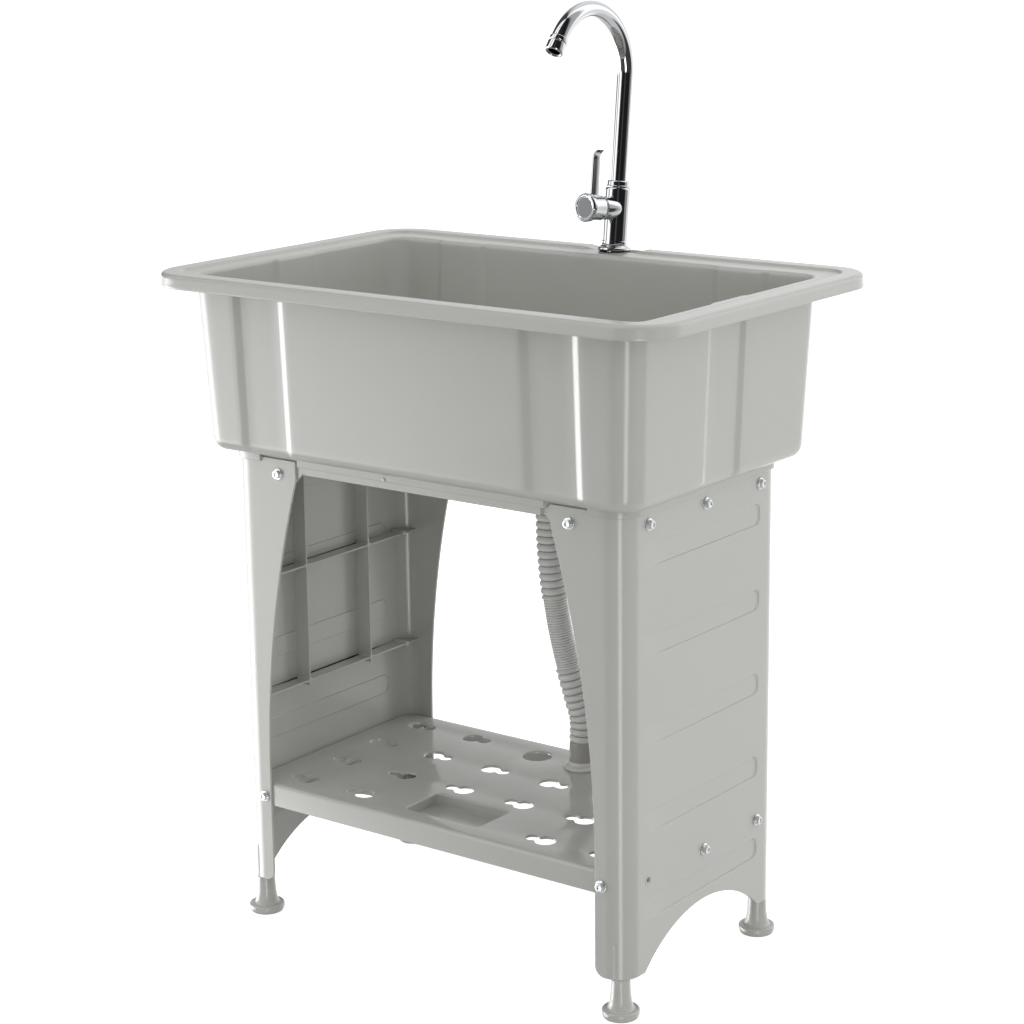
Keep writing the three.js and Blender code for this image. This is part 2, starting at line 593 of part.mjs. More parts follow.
// The tube that takes a foot's stud, tied to the leg's walls by two webs.
function footSocket(side) {
  const y = side * FOOT_Y;
  const up = new THREE.Vector3(0, 0, 1);
  const tube = bar(SOCKET_RADIUS, new THREE.Vector3(FOOT_X, y, PANEL_BOTTOM), up, SOCKET_HEIGHT, 16);
  const top = PANEL_BOTTOM + SOCKET_HEIGHT;
  const wallY = side * PANEL_HALF_DEPTH;
  const thin = RIB_WALL / 2;
  const low = PANEL_BOTTOM + 2;
  const across = box(FOOT_X, PANEL_HALF_SPAN, y - thin, y + thin, low, top);
  const along = box(FOOT_X - thin, FOOT_X + thin, Math.min(y, wallY), Math.max(y, wallY), low, top);
  const start = new THREE.Vector3(FOOT_X, y, PANEL_BOTTOM - 1);
  const bore = bar(FOOT_STUD + GAP, start, up, SOCKET_HEIGHT + 2, 16);
  return { post: joined(tube, across, along), bore };
}

// ---- the shelf -------------------------------------------------------------------------
// A pear-shaped slot: a big lobe, a small lobe and a drawn-in waist.
function slotOutline(x, y, way) {
  const shape = new THREE.Shape();
  const [big, small] = [x - (way * SLOT_SPREAD) / 2, x + (way * SLOT_SPREAD) / 2];
  const open = THREE.MathUtils.degToRad(50);
  const turn = way > 0 ? 0 : Math.PI;
  shape.absarc(big, y, SLOT_BIG, turn + open, turn + 2 * Math.PI - open);
  const end = turn + Math.PI + open;
  const waist = y + SLOT_SMALL * Math.sin(end) * 0.78;
  shape.quadraticCurveTo(x, waist, small + SLOT_SMALL * Math.cos(end), y + SLOT_SMALL * Math.sin(end));
  shape.absarc(small, y, SLOT_SMALL, end, turn + Math.PI - open + 2 * Math.PI);
  const start = turn + open;
  shape.quadraticCurveTo(x, 2 * y - waist, big + SLOT_BIG * Math.cos(start), y + SLOT_BIG * Math.sin(start));
  return shape;
}

// Every slot of the grid that the tray and the pipe holes leave room for.
function slotPlaces() {
  const places = [];
  for (let row = 0; row < SLOT_ROWS; row += 1) {
    for (let column = 0; column < SLOT_COLUMNS; column += 1) {
      const x = (column - (SLOT_COLUMNS - 1) / 2) * SLOT_PITCH_X;
      const y = (row - (SLOT_ROWS - 1) / 2) * SLOT_PITCH_Y;
      const inner = Math.abs(x) < SLOT_PITCH_X;
      const taken = inner && (row === 0 || row === SLOT_ROWS - 1);
      if (!taken) places.push({ x, y, way: row < SLOT_ROWS / 2 ? -1 : 1 });
    }
  }
  return places;
}

function shelf() {
  const reachX = PANEL_HALF_SPAN - PANEL_WALL - GAP;
  const reachY = PANEL_HALF_DEPTH - PANEL_WALL - GAP;
  const corner = PANEL_CORNER - PANEL_WALL - GAP;
  const [w, low] = [SHELF_WALL, SHELF_TOP - SHELF_DEPTH];
  const layer = (inset, z0, z1) => {
    const [x, y] = [reachX - inset, reachY - inset];
    return raised(plate(-x, x, -y, y, corner - inset), z0, z1);
  };
  const shoulder = SHELF_ROUND * (1 - Math.SQRT1_2);
  const block = joined(
    layer(0, low, SHELF_TOP - SHELF_ROUND),
    layer(shoulder, SHELF_TOP - SHELF_ROUND - 1, SHELF_TOP - shoulder),
    layer(SHELF_ROUND, SHELF_TOP - SHELF_ROUND - 1, SHELF_TOP),
  );
  const hollow = layer(w, low - 1, SHELF_TOP - w);
  const [x, y0, y1, r] = [TRAY_HALF_LENGTH, TRAY_FRONT, TRAY_BACK, TRAY_CORNER];
  const trayFloor = SHELF_TOP - TRAY_DEPTH;
  const trayBlock = raised(plate(-x - w, x + w, y0 - w, y1 + w, r + w), trayFloor - w, SHELF_TOP - 1);
  const trayHollow = raised(plate(-x, x, y0, y1, r), trayFloor, SHELF_TOP + 1);
  const slots = slotPlaces().map((slot) => {
    return raised(slotOutline(slot.x, slot.y, slot.way), SHELF_TOP - w - 2, SHELF_TOP + 2, 2);
  });
  const down = new THREE.Vector3(0, 0, -1);
  const pipes = [-1, 1].map((side) => {
    return bar(PIPE_HOLE, new THREE.Vector3(side * PIPE_X, PIPE_Y, SHELF_TOP + 1), down, w + 3, 24);
  });
  const bolts = boltHoles(({ point }) => point.z === BOLT_LOW);
  return cutBy(joined(cutBy(block, hollow), trayBlock), trayHollow, ...slots, ...pipes, ...bolts);
}

// ---- feet and bolts --------------------------------------------------------------------
// A levelling foot: a disc, a trumpet-shaped stem and a stud.
function footGeometry() {
  const neck = PANEL_BOTTOM - GAP;
  return turned([
    [0, 0],
    [FOOT_DISC - 3, 0],
    [FOOT_DISC, 5],
    [FOOT_DISC, 9],
    [FOOT_DISC - 1.6, 10.6],
    [16.5, 9.6],
    [14.4, 11.5],
    [12.6, 18],
    [11.4, 27],
    [FOOT_STEM, neck],
    [FOOT_STUD, neck],
    [FOOT_STUD, neck + FOOT_STUD_LENGTH - 1],
    [FOOT_STUD - 1, neck + FOOT_STUD_LENGTH],
    [0, neck + FOOT_STUD_LENGTH],
  ], 14);
}

// A washer-head bolt along +Z, its washer resting at height 0 and its shank below.
function boltGeometry() {
  const washer = solid(turned([[0, GAP], [BOLT_WASHER, GAP], [BOLT_WASHER, 1.1], [0, 1.9]], 10));
  const up = new THREE.Vector3(0, 0, 1);
  const head = bar(BOLT_HEX, new THREE.Vector3(0, 0, 1), up, 4.2, 6);
  const shank = bar(BOLT_SHANK, new THREE.Vector3(0, 0, 2 - BOLT_LENGTH), up, BOLT_LENGTH - 1, 6);
  return geometryOf(joined(washer, head, shank));
}

// ---- the waste and its hose ------------------------------------------------------------
// The waste: a dished flange on the bowl's floor, a bored threaded neck and a slotted strainer.
function wasteGeometry() {
  const seat = TUB_UNDERSIDE - FLOOR_FALL + TUB_WALL + 1.9;
  const low = TUB_UNDERSIDE - DRAIN_LENGTH;
  const bowl = solid(turned([
    [DRAIN_BORE, low],
    [DRAIN_NECK, low],
    [DRAIN_NECK, seat + GAP],
    [DRAIN_FLANGE, seat + GAP],
    [DRAIN_FLANGE, seat + 1.6],
    [DRAIN_FLANGE - 2, seat + 2.6],
    [DRAIN_BORE + 4, seat + 1.2],
    [DRAIN_BORE, seat - 4],
    [DRAIN_BORE, low],
  ], 24));
  const cross = [0, 1, 2].map((k) => {
    const bridge = new THREE.BoxGeometry(2 * DRAIN_BORE + 2, 2.4, 2.4);
    return solid(bridge.rotateZ((k * Math.PI) / 3).translate(0, 0, seat - 6));
  });
  return geometryOf(joined(bowl, ...cross)).translate(0, DRAIN_Y, 0);
}

function wasteNutGeometry() {
  const top = TUB_UNDERSIDE - FLOOR_FALL - 3.4;
  const grip = DRAIN_NECK + 7;
  const nut = solid(turned([
    [DRAIN_NECK + GAP, top - NUT_HEIGHT],
    [grip - 1, top - NUT_HEIGHT],
    [grip, top - NUT_HEIGHT + 1],
    [grip, top - 3],
    [grip + 3, top - 2.5],
    [grip + 3, top],
    [DRAIN_NECK + GAP, top],
    [DRAIN_NECK + GAP, top - NUT_HEIGHT],
  ], 24));
  const wings = [0, 1, 2, 3].map((k) => {
    const wing = new THREE.BoxGeometry(4, 3, NUT_HEIGHT - 4);
    return solid(wing.translate(grip + 1.4, 0, top - NUT_HEIGHT / 2 - 1).rotateZ((k * Math.PI) / 2));
  });
  return geometryOf(joined(nut, ...wings)).translate(0, DRAIN_Y, 0);
}

// A flat rubber ring.
function ring(inner, outer, z0, z1, sides) {
  return turned([[inner, z0], [outer, z0], [outer, z1], [inner, z1], [inner, z0]], sides);
}

// The hose's middle line, chosen by hand: straight out of the waste, then over to the shelf's pipe hole.
function hoseLine() {
  // Shares of the way down and of the way over to the hole.
  const route = [
    [0, 0], [0.113, 0], [0.241, 0.029], [0.37, 0.114], [0.531, 0.286], [0.691, 0.557], [0.836, 0.857],
    [0.904, 1], [1, 1],
  ];
  const points = route.map(([down, over]) => new THREE.Vector3(
    over * PIPE_X,
    DRAIN_Y + over * (PIPE_Y - DRAIN_Y),
    HOSE_TOP - down * (HOSE_TOP - HOSE_BOTTOM),
  ));
  return new THREE.CatmullRomCurve3(points, false, 'centripetal');
}

// The ribs' pitch along the hose: wide at both ends, drawn together in the middle.
function ribStations(length) {
  const [fineFrom, fineTo] = [0.37, 0.64];
  const stations = [];
  let along = 6;
  while (along < length - 6) {
    stations.push(along);
    const share = along / length;
    along += share > fineFrom && share < fineTo ? RIB_PITCH_FINE : RIB_PITCH_WIDE;
  }
  return stations;
}

// A ribbed tube along a curve: each rib is a crest ring and a root ring, and the bore is plain.
function ribbedTube(curve) {
  const sides = 8;
  const length = curve.getLength();
  const stations = ribStations(length);
  const outside = [[0, HOSE_RADIUS - 2.2]];
  for (const [k, along] of stations.entries()) {
    const pitch = (stations[k + 1] ?? along + RIB_PITCH_WIDE) - along;
    outside.push([along, HOSE_RADIUS], [along + pitch / 2, HOSE_RADIUS - (pitch > 4 ? 2.4 : 1.2)]);
  }
  outside.push([length, HOSE_RADIUS - 2.2]);
  const inside = [];
  const boreSteps = Math.ceil(stations.length / 5);
  for (let k = boreSteps; k >= 0; k -= 1) inside.push([(length * k) / boreSteps, HOSE_BORE]);
  const frames = curve.computeFrenetFrames(200, false);
  const ringAt = ([along, radius]) => {
    const u = Math.min(along / length, 1);
    const frame = Math.round(u * 200);
    const middle = curve.getPointAt(u);
    const ringPoints = [];
    for (let i = 0; i < sides; i += 1) {
      const angle = (2 * Math.PI * i) / sides;
      const point = middle.clone();
      point.addScaledVector(frames.normals[frame], radius * Math.cos(angle));
      point.addScaledVector(frames.binormals[frame], radius * Math.sin(angle));
      ringPoints.push(point.toArray());
    }
    return ringPoints;
  };
  return closedTube([...outside, ...inside].map(ringAt));
}

// The hose's top cuff, pushed over the waste's end.
function hoseCollarGeometry() {
  const low = HOSE_TOP + GAP;
  const top = TUB_UNDERSIDE - DRAIN_LENGTH + 10;
  const [bore, outer] = [DRAIN_NECK + GAP, DRAIN_NECK + 3];
  const shoulder = TUB_UNDERSIDE - DRAIN_LENGTH - GAP;
  return turned([
    [HOSE_BORE, low],
    [HOSE_RADIUS, low],
    [outer, shoulder - 3],
    [outer, top],
    [bore, top],
    [bore, shoulder],
    [HOSE_BORE, shoulder],
    [HOSE_BORE, low],
  ], 24).translate(0, DRAIN_Y, 0);
}

// The smooth cuff at the hose's lower end, which drops through the shelf's pipe hole.
function hoseCuffGeometry() {
  const top = HOSE_BOTTOM - GAP;
  const low = SHELF_TOP - 24;
  const spigot = PIPE_HOLE - 2.6;
  return turned([
    [HOSE_BORE, low],
    [spigot - 0.6, low],
    [spigot, low + 3],
    [spigot, top - 4],
    [HOSE_RADIUS - 1.4, top],
    [HOSE_BORE, top],
    [HOSE_BORE, low],
  ], 24).translate(PIPE_X, PIPE_Y, 0);
}

// The flange that seats in the shelf's hole round the cuff.
function shelfFlangeGeometry() {
  const bore = PIPE_HOLE - 2.6 + GAP;
  const [outer, sleeve] = [PIPE_HOLE + 4.5, PIPE_HOLE - GAP];
  const seat = SHELF_TOP + GAP;
  return turned([
    [bore, SHELF_TOP - SHELF_WALL - 5],
    [sleeve, SHELF_TOP - SHELF_WALL - 5],
    [sleeve, seat],
    [outer, seat],
    [outer, seat + 2],
    [outer - 1.5, seat + 3.5],
    [sleeve - 0.2, seat + 4.5],
    [bore + 0.8, seat + 9],
    [bore, seat + 9],
    [bore, SHELF_TOP - SHELF_WALL - 5],
  ], 24).translate(PIPE_X, PIPE_Y, 0);
}

// ---- the tap (its own frame: the seat is at 0, +Z up the body, the spout towards -Y) -----
const valveWay = new THREE.Vector3(0, -1, 0);

function tapBaseGeometry() {
  const bore = SHANK_RADIUS + GAP;
  return turned([
    [bore, 1.2 + GAP],
    [TAP_FLANGE, 1.2 + GAP],
    [TAP_FLANGE, 3.4],
    [TAP_FLANGE - 1.4, 4.8],
    [TAP_BODY + 1.6, 5.4],
    [TAP_BODY + 0.4, 7],
    [bore, 7],
    [bore, 1.2 + GAP],
  ], 24);
}

// The tap's body with its side branch; the shank below it is a part of the same casting.
function tapBodyGeometry() {
  const foot = 7 + GAP;
  const body = solid(turned([
    [0, foot],
    [TAP_BODY, foot],
    [TAP_BODY, TAP_BODY_TOP - 2],
    [TAP_BODY - 2, TAP_BODY_TOP],
    [0, TAP_BODY_TOP],
  ], 24));
  const up = new THREE.Vector3(0, 0, 1);
  const branch = bar(VALVE_SLEEVE, new THREE.Vector3(0, 0, VALVE_HEIGHT), valveWay, VALVE_REACH, 28);
  const well = bar(SPOUT_RADIUS - 1, new THREE.Vector3(0, 0, TAP_BODY_TOP - 12), up, 20, 20);
  const mouth = new THREE.Vector3(0, -VALVE_REACH + 8, VALVE_HEIGHT);
  const seat = bar(SPINDLE + 1 + GAP, mouth, valveWay, 20, 16);
  const low = new THREE.Vector3(0, 0, -SHANK_LENGTH);
  const shank = bar(SHANK_RADIUS, low, up, SHANK_LENGTH + foot + 2, 20);
  return geometryOf(cutBy(joined(body, branch, shank), well, seat));
}

function collarGeometry() {
  const bore = SPOUT_RADIUS + GAP;
  return turned([
    [bore, TAP_BODY_TOP + GAP],
    [TAP_COLLAR + 1, TAP_BODY_TOP + GAP],
    [TAP_COLLAR + 1, TAP_BODY_TOP + 1.8],
    [TAP_COLLAR, TAP_BODY_TOP + 2.4],
    [TAP_COLLAR, TAP_COLLAR_TOP - 1],
    [TAP_COLLAR - 1, TAP_COLLAR_TOP],
    [bore, TAP_COLLAR_TOP],
    [bore, TAP_BODY_TOP + GAP],
  ], 24);
}

// The gooseneck: a bored tube up the riser and over the bend.
function spoutGeometry() {
  const foot = TAP_BODY_TOP + GAP;
  const arc = [];
  const steps = 14;
  for (let k = 0; k <= steps; k += 1) {
    const angle = (k / steps) * SPOUT_SWEEP;
    arc.push([-SPOUT_BEND * (1 - Math.cos(angle)), SPOUT_SPRING + SPOUT_BEND * Math.sin(angle), angle]);
  }
  const sides = 16;
  const stations = [[0, foot, 0], ...arc];
  const ringsOf = (radius) => stations.map(([y, z, angle]) => {
    const ringPoints = [];
    for (let i = 0; i < sides; i += 1) {
      const turn = (2 * Math.PI * i) / sides;
      const side = radius * Math.cos(turn);
      const out = radius * Math.sin(turn);
      ringPoints.push([side, y + out * Math.cos(angle), z + out * Math.sin(angle)]);
    }
    return ringPoints;
  });
  const rings = [...ringsOf(SPOUT_RADIUS), ...ringsOf(SPOUT_RADIUS - SPOUT_WALL).reverse()];
  return closedTube(rings);
}

// The aerator hangs on the spout's end, its face along +Z here.
function aeratorGeometry() {
  const bore = SPOUT_RADIUS - 3;
  const r = AERATOR_RADIUS;
  return turned([
    [bore, GAP],
    [r - 0.6, GAP],
    [r, 1],
    [r, 5.4],
    [r - 0.6, 6],
    [r - 0.6, 7],
    [r, 7.6],
    [r, AERATOR_LENGTH - 1],
    [r - 1, AERATOR_LENGTH],
    [bore, AERATOR_LENGTH],
    [bore, GAP],
  ], 24);
}

// The valve's spindle, cap and lever, along +Z from the branch's face.
function spindleGeometry() {
  return turned([
    [0, -7.5],
    [SPINDLE + 1, -7.5],
    [SPINDLE + 1, -1],
    [SPINDLE, 0],
    [SPINDLE, CAP_GAP + 9],
    [0, CAP_GAP + 9],
  ], 16);
}

function capGeometry() {
  const [near, far] = [CAP_GAP, CAP_GAP + CAP_DEPTH];
  const bore = SPINDLE + GAP;
  const cap = solid(turned([
    [0, near + 9 + GAP],
    [bore, near + 9 + GAP],
    [bore, near],
    [CAP_RADIUS - 2.5, near],
    [CAP_RADIUS - 1.5, near + 1],
    [CAP_RADIUS - 1.5, far - 8],
    [CAP_RADIUS, far - 7],
    [CAP_RADIUS, far - 1.5],
    [CAP_RADIUS - 1.5, far],
    [CAP_RADIUS - 4, far],
    [CAP_RADIUS - 4.6, far - 0.8],
    [0, far - 0.8],
  ], 24));
  const slot = new THREE.BoxGeometry(LEVER_THICK + 2 * GAP, 12, LEVER_WIDTH + 2 * GAP);
  slot.translate(0, CAP_RADIUS + 1, near + 9);
  return geometryOf(cutBy(cap, solid(slot)));
}

// A flat blade that stands up from the cap and hooks forward at its tip.
function leverGeometry() {
  const root = CAP_RADIUS - 5 + GAP;
  const tip = root + LEVER_LENGTH;
  const half = LEVER_THICK / 2;
  const shape = new THREE.Shape();
  shape.moveTo(-half, root);
  shape.lineTo(half, root);
  shape.lineTo(half, tip - 9);
  shape.quadraticCurveTo(half, tip - 3, half + 4, tip);
  shape.lineTo(half + 2, tip + 2);
  shape.quadraticCurveTo(-half, tip, -half, tip - 8);
  const settings = { depth: LEVER_WIDTH, bevelEnabled: false, curveSegments: 6 };
  const blade = new THREE.ExtrudeGeometry(shape, settings);
  return blade.translate(0, 0, CAP_GAP + 9 - LEVER_WIDTH / 2);
}

function tapNutGeometry() {
  const top = -SEAT_DEPTH - TAP_WASHER - 2 * GAP;
  return turned([
    [SHANK_RADIUS + GAP, top - 10],
    [19, top - 10],
    [19, top - 4],
    [21, top - 3],
    [21, top],
    [SHANK_RADIUS + GAP, top],
    [SHANK_RADIUS + GAP, top - 10],
  ], 24);
}

// ---- assembly --------------------------------------------------------------------------
const sink = new THREE.Group();

function add(parent, name, geometry, material) {
  const mesh = new THREE.Mesh(geometry, material);
  mesh.name = name;
  parent.add(mesh);
  return mesh;
}

add(sink, 'tub', geometryOf(tub()), plastic());
const rightPanel = panel();
add(sink, 'panel_right', geometryOf(rightPanel), plastic());
add(sink, 'panel_left', geometryOf(rightPanel.mirror([1, 0, 0])), plastic());
add(sink, 'shelf', geometryOf(shelf()), plastic());

for (const [row, y] of [['front', -1], ['back', 1]]) {
  for (const [side, x] of [['left', -1], ['right', 1]]) {
    add(sink, `foot_${row}_${side}`, footGeometry(), plastic()).position.set(x * FOOT_X, y * FOOT_Y, 0);
  }
}

for (const { name, point, way } of boltPlaces().filter((place) => place.name !== SPARE_HOLE)) {
  const bolt = add(sink, name, boltGeometry(), zinc());
  bolt.position.copy(point);
  bolt.quaternion.setFromUnitVectors(new THREE.Vector3(0, 0, 1), way);
}

add(sink, 'waste', wasteGeometry(), steel());
const wasteSeat = TUB_UNDERSIDE - FLOOR_FALL;
const wasteGasket = ring(DRAIN_NECK + GAP, DRAIN_NECK + 8, wasteSeat - 3.1, wasteSeat - GAP, 24);
add(sink, 'waste_gasket', wasteGasket.translate(0, DRAIN_Y, 0), rubber());
add(sink, 'waste_nut', wasteNutGeometry(), hosePlastic());
add(sink, 'hose_collar', hoseCollarGeometry(), hosePlastic());
add(sink, 'hose', ribbedTube(hoseLine()), hosePlastic());
add(sink, 'hose_cuff', hoseCuffGeometry(), hosePlastic());
add(sink, 'shelf_flange', shelfFlangeGeometry(), hosePlastic());

const tap = new THREE.Group();
tap.position.set(TAP_X, TAP_Y, TAP_SEAT);
tap.rotation.x = -TAP_LEAN;
sink.add(tap);
add(tap, 'tap_gasket', ring(SHANK_RADIUS + GAP, TAP_FLANGE - 1, GAP, 1.2, 24), rubber());
add(tap, 'tap_base', tapBaseGeometry(), chrome());
add(tap, 'tap_collar', collarGeometry(), chrome());
const washerTop = -SEAT_DEPTH - GAP;
const tapWasher = ring(SHANK_RADIUS + GAP, SHANK_RADIUS + 9, washerTop - TAP_WASHER, washerTop, 24);
add(tap, 'tap_washer', tapWasher, rubber());
add(tap, 'tap_nut', tapNutGeometry(), brass());
add(tap, 'spout', spoutGeometry(), chrome());

const aerator = add(tap, 'aerator', aeratorGeometry(), chrome());
aerator.position.set(
  0,
  -SPOUT_BEND * (1 - Math.cos(SPOUT_SWEEP)),
  SPOUT_SPRING + SPOUT_BEND * Math.sin(SPOUT_SWEEP),
);
aerator.rotation.x = SPOUT_SWEEP;

const head = new THREE.Group();
head.rotation.z = -VALVE_TURN;
tap.add(head);
add(head, 'tap_body', tapBodyGeometry(), chrome());
const valve = new THREE.Group();
valve.position.set(0, -VALVE_REACH, VALVE_HEIGHT);
valve.rotation.x = Math.PI / 2;
head.add(valve);
add(valve, 'spindle', spindleGeometry(), brass());
add(valve, 'valve_cap', capGeometry(), chrome());
add(valve, 'lever', leverGeometry(), chrome());

// The part's origin is on the floor below the middle of its bounding box.
const reach = new THREE.Box3().setFromObject(sink, true);
const middle = reach.getCenter(new THREE.Vector3());
sink.position.set(-middle.x, -middle.y, -reach.min.z);

export default sink;
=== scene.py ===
import math

import bmesh
import bpy
import numpy as np
from mathutils import Matrix, Vector
from mathutils.geometry import delaunay_2d_cdt


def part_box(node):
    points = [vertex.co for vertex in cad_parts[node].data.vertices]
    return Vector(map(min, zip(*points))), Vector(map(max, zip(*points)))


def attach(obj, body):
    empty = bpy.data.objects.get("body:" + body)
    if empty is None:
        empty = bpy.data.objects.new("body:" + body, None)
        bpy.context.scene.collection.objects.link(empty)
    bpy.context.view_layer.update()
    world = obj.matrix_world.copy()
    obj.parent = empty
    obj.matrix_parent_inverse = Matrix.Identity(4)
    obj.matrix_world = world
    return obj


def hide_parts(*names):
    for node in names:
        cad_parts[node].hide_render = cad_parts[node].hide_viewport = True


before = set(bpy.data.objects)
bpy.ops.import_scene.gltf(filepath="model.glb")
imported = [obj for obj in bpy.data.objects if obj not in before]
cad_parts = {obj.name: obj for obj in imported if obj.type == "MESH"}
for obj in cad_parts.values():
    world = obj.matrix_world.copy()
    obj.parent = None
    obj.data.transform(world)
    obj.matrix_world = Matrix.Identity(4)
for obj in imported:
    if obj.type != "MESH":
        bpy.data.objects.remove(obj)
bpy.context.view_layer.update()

# ---- camera, light and floor ----------------------------------------------------------------
# The sink stands on a white sweep in a photo studio, seen from its right front corner.
# Lengths are in millimetres in the stand's own frame: x to the right, y to the back, z up,
# with the middle of the four feet on the floor at the origin.
low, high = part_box("panel_right")
STAND_Y = (low.y + high.y) / 2


def in_frame(points):
    """Millimetres in the stand's frame to metres in the part's: p / 1000 + (0, STAND_Y, 0)."""
    return np.asarray(points, float) / 1000 + (0, STAND_Y, 0)


CAMERA_ANGLES, CAMERA_PLACE = (36.932, 14.004, -0.7155), (1724.34, -2277.08, 1218.20)
FOCAL_PIXELS, IMAGE_PIXELS, SENSOR_WIDTH = 2546.4, 1024, 36
FLOOR_HALF = 30
turn, tilt, roll = (math.radians(angle) for angle in CAMERA_ANGLES)
back = Vector((math.sin(turn) * math.cos(tilt), -math.cos(turn) * math.cos(tilt), math.sin(tilt)))
level = Vector((math.cos(turn), math.sin(turn), 0))
upright = back.cross(level)
right = math.cos(roll) * level + math.sin(roll) * upright
top = math.cos(roll) * upright - math.sin(roll) * level
camera = bpy.data.objects.new("camera", bpy.data.cameras.new("camera"))
camera.data.lens = FOCAL_PIXELS / IMAGE_PIXELS * SENSOR_WIDTH
camera.matrix_world = Matrix((right, top, back)).transposed().to_4x4()
camera.location = in_frame(CAMERA_PLACE)
bpy.context.scene.collection.objects.link(camera)
bpy.context.scene.camera = camera
bpy.context.scene.view_settings.view_transform = "Standard"

floor_mesh = bpy.data.meshes.new("floor")
floor_signs = ((-1, -1), (1, -1), (1, 1), (-1, 1))
floor_points = [(x * FLOOR_HALF, y * FLOOR_HALF, 0) for x, y in floor_signs]
floor_mesh.from_pydata(floor_points, [], [(0, 1, 2, 3)])
floor = bpy.data.objects.new("floor", floor_mesh)
bpy.context.scene.collection.objects.link(floor)
paper = bpy.data.materials.new("lit_white_paper")
paper.use_nodes = True
nodes, links = paper.node_tree.nodes, paper.node_tree.links
sheet = nodes["Principled BSDF"]
sheet.inputs["Base Color"].default_value = (0.7, 0.7, 0.7, 1)
sheet.inputs["Roughness"].default_value = 0.9
sheet.inputs["Specular IOR Level"].default_value = 0
glow = nodes.new("ShaderNodeEmission")
glow.inputs["Strength"].default_value = 0.8
lit = nodes.new("ShaderNodeAddShader")
shown = nodes.new("ShaderNodeMixShader")
ray = nodes.new("ShaderNodeLightPath")
links.new(sheet.outputs[0], lit.inputs[0])
links.new(glow.outputs[0], lit.inputs[1])
links.new(ray.outputs["Is Camera Ray"], shown.inputs["Fac"])
links.new(sheet.outputs[0], shown.inputs[1])
links.new(lit.outputs[0], shown.inputs[2])
links.new(shown.outputs[0], nodes["Material Output"].inputs["Surface"])
floor_mesh.materials.append(paper)
floor.visible_glossy = False


def softbox(name, place, width, height, power, aim=(0, 0, 500)):
    """An oblong area light at a place, turned to its aim; the gloss shows the walls instead."""
    lamp = bpy.data.lights.new(name, "AREA")
    lamp.shape = "RECTANGLE"
    lamp.size, lamp.size_y, lamp.energy = width, height, power
    holder = bpy.data.objects.new(name, lamp)
    start, end = Vector(in_frame(place)), Vector(in_frame(aim))
    aimed = (end - start).to_track_quat("-Z", "Y").to_matrix().to_4x4()
    holder.matrix_world = Matrix.Translation(start) @ aimed
    holder.visible_camera = False
    holder.visible_glossy = False
    bpy.context.scene.collection.objects.link(holder)


softbox("key_left", (-830, -1030, 240), 0.45, 0.4, 2.6, (-150, -150, 300))
softbox("strip_right", (2200, -350, 750), 0.5, 1.5, 8.5)
softbox("overhead", (200, -200, 2700), 1.6, 1.2, 8)
softbox("back_right", (1600, 2300, 800), 1.2, 1.4, 7, (0, 0, 400))
softbox("backdrop", (-300, 2700, 1050), 2.8, 1.5, 20, (0, 0, 700))

# The studio round the object, by azimuth: a dim room for soft light, and for the gloss two
# heights of wall. The upper has dark stands in it, which draw the bands in the chrome; the lower
# has the big lamp's glow on the left, a narrow strip lamp in front and the backdrop behind. Gloss
# that looks steeply down meets the lit floor, and the camera sees white beyond the sweep.
world = bpy.data.worlds.new("studio")
bpy.context.scene.world = world
world.use_nodes = True
nodes, links = world.node_tree.nodes, world.node_tree.links
ray = nodes.new("ShaderNodeLightPath")
where = nodes.new("ShaderNodeTexCoord")
split = nodes.new("ShaderNodeSeparateXYZ")
azimuth = nodes.new("ShaderNodeMath")
azimuth.operation = "ARCTAN2"
sweep_round = nodes.new("ShaderNodeMapRange")
sweep_round.inputs["From Min"].default_value = -math.pi
sweep_round.inputs["From Max"].default_value = math.pi
links.new(where.outputs["Generated"], split.inputs[0])
links.new(split.outputs["Y"], azimuth.inputs[0])
links.new(split.outputs["X"], azimuth.inputs[1])
links.new(azimuth.outputs[0], sweep_round.inputs["Value"])


def walls(stops, strength):
    """A background whose light follows a ramp of (azimuth in degrees, share of the strength)."""
    ramp = nodes.new("ShaderNodeValToRGB")
    bar = ramp.color_ramp.elements
    for number, (degrees, value) in enumerate(stops):
        stop = bar[number] if number < 2 else bar.new((degrees + 180) / 360)
        stop.position = (degrees + 180) / 360
        stop.color = (value, value, 1.01 * value, 1)
    links.new(sweep_round.outputs["Result"], ramp.inputs["Fac"])
    light = nodes.new("ShaderNodeBackground")
    light.inputs["Strength"].default_value = strength
    links.new(ramp.outputs["Color"], light.inputs["Color"])
    return light.outputs[0]


def even(grey, strength):
    """A background of one grey all round."""
    light = nodes.new("ShaderNodeBackground")
    light.inputs["Color"].default_value = (grey, grey, grey, 1)
    light.inputs["Strength"].default_value = strength
    return light.outputs[0]


def climb(low, high):
    """A share that rises from 0 to 1 as the direction's height goes from low to high."""
    share = nodes.new("ShaderNodeMapRange")
    share.inputs["From Min"].default_value = low
    share.inputs["From Max"].default_value = high
    links.new(split.outputs["Z"], share.inputs["Value"])
    return share.outputs["Result"]


def either(share, first, second):
    """The first light where the share is 0, the second where it is 1, and a mix between."""
    mix = nodes.new("ShaderNodeMixShader")
    for number, source in enumerate((share, first, second)):
        links.new(source, mix.inputs[number])
    return mix.outputs[0]


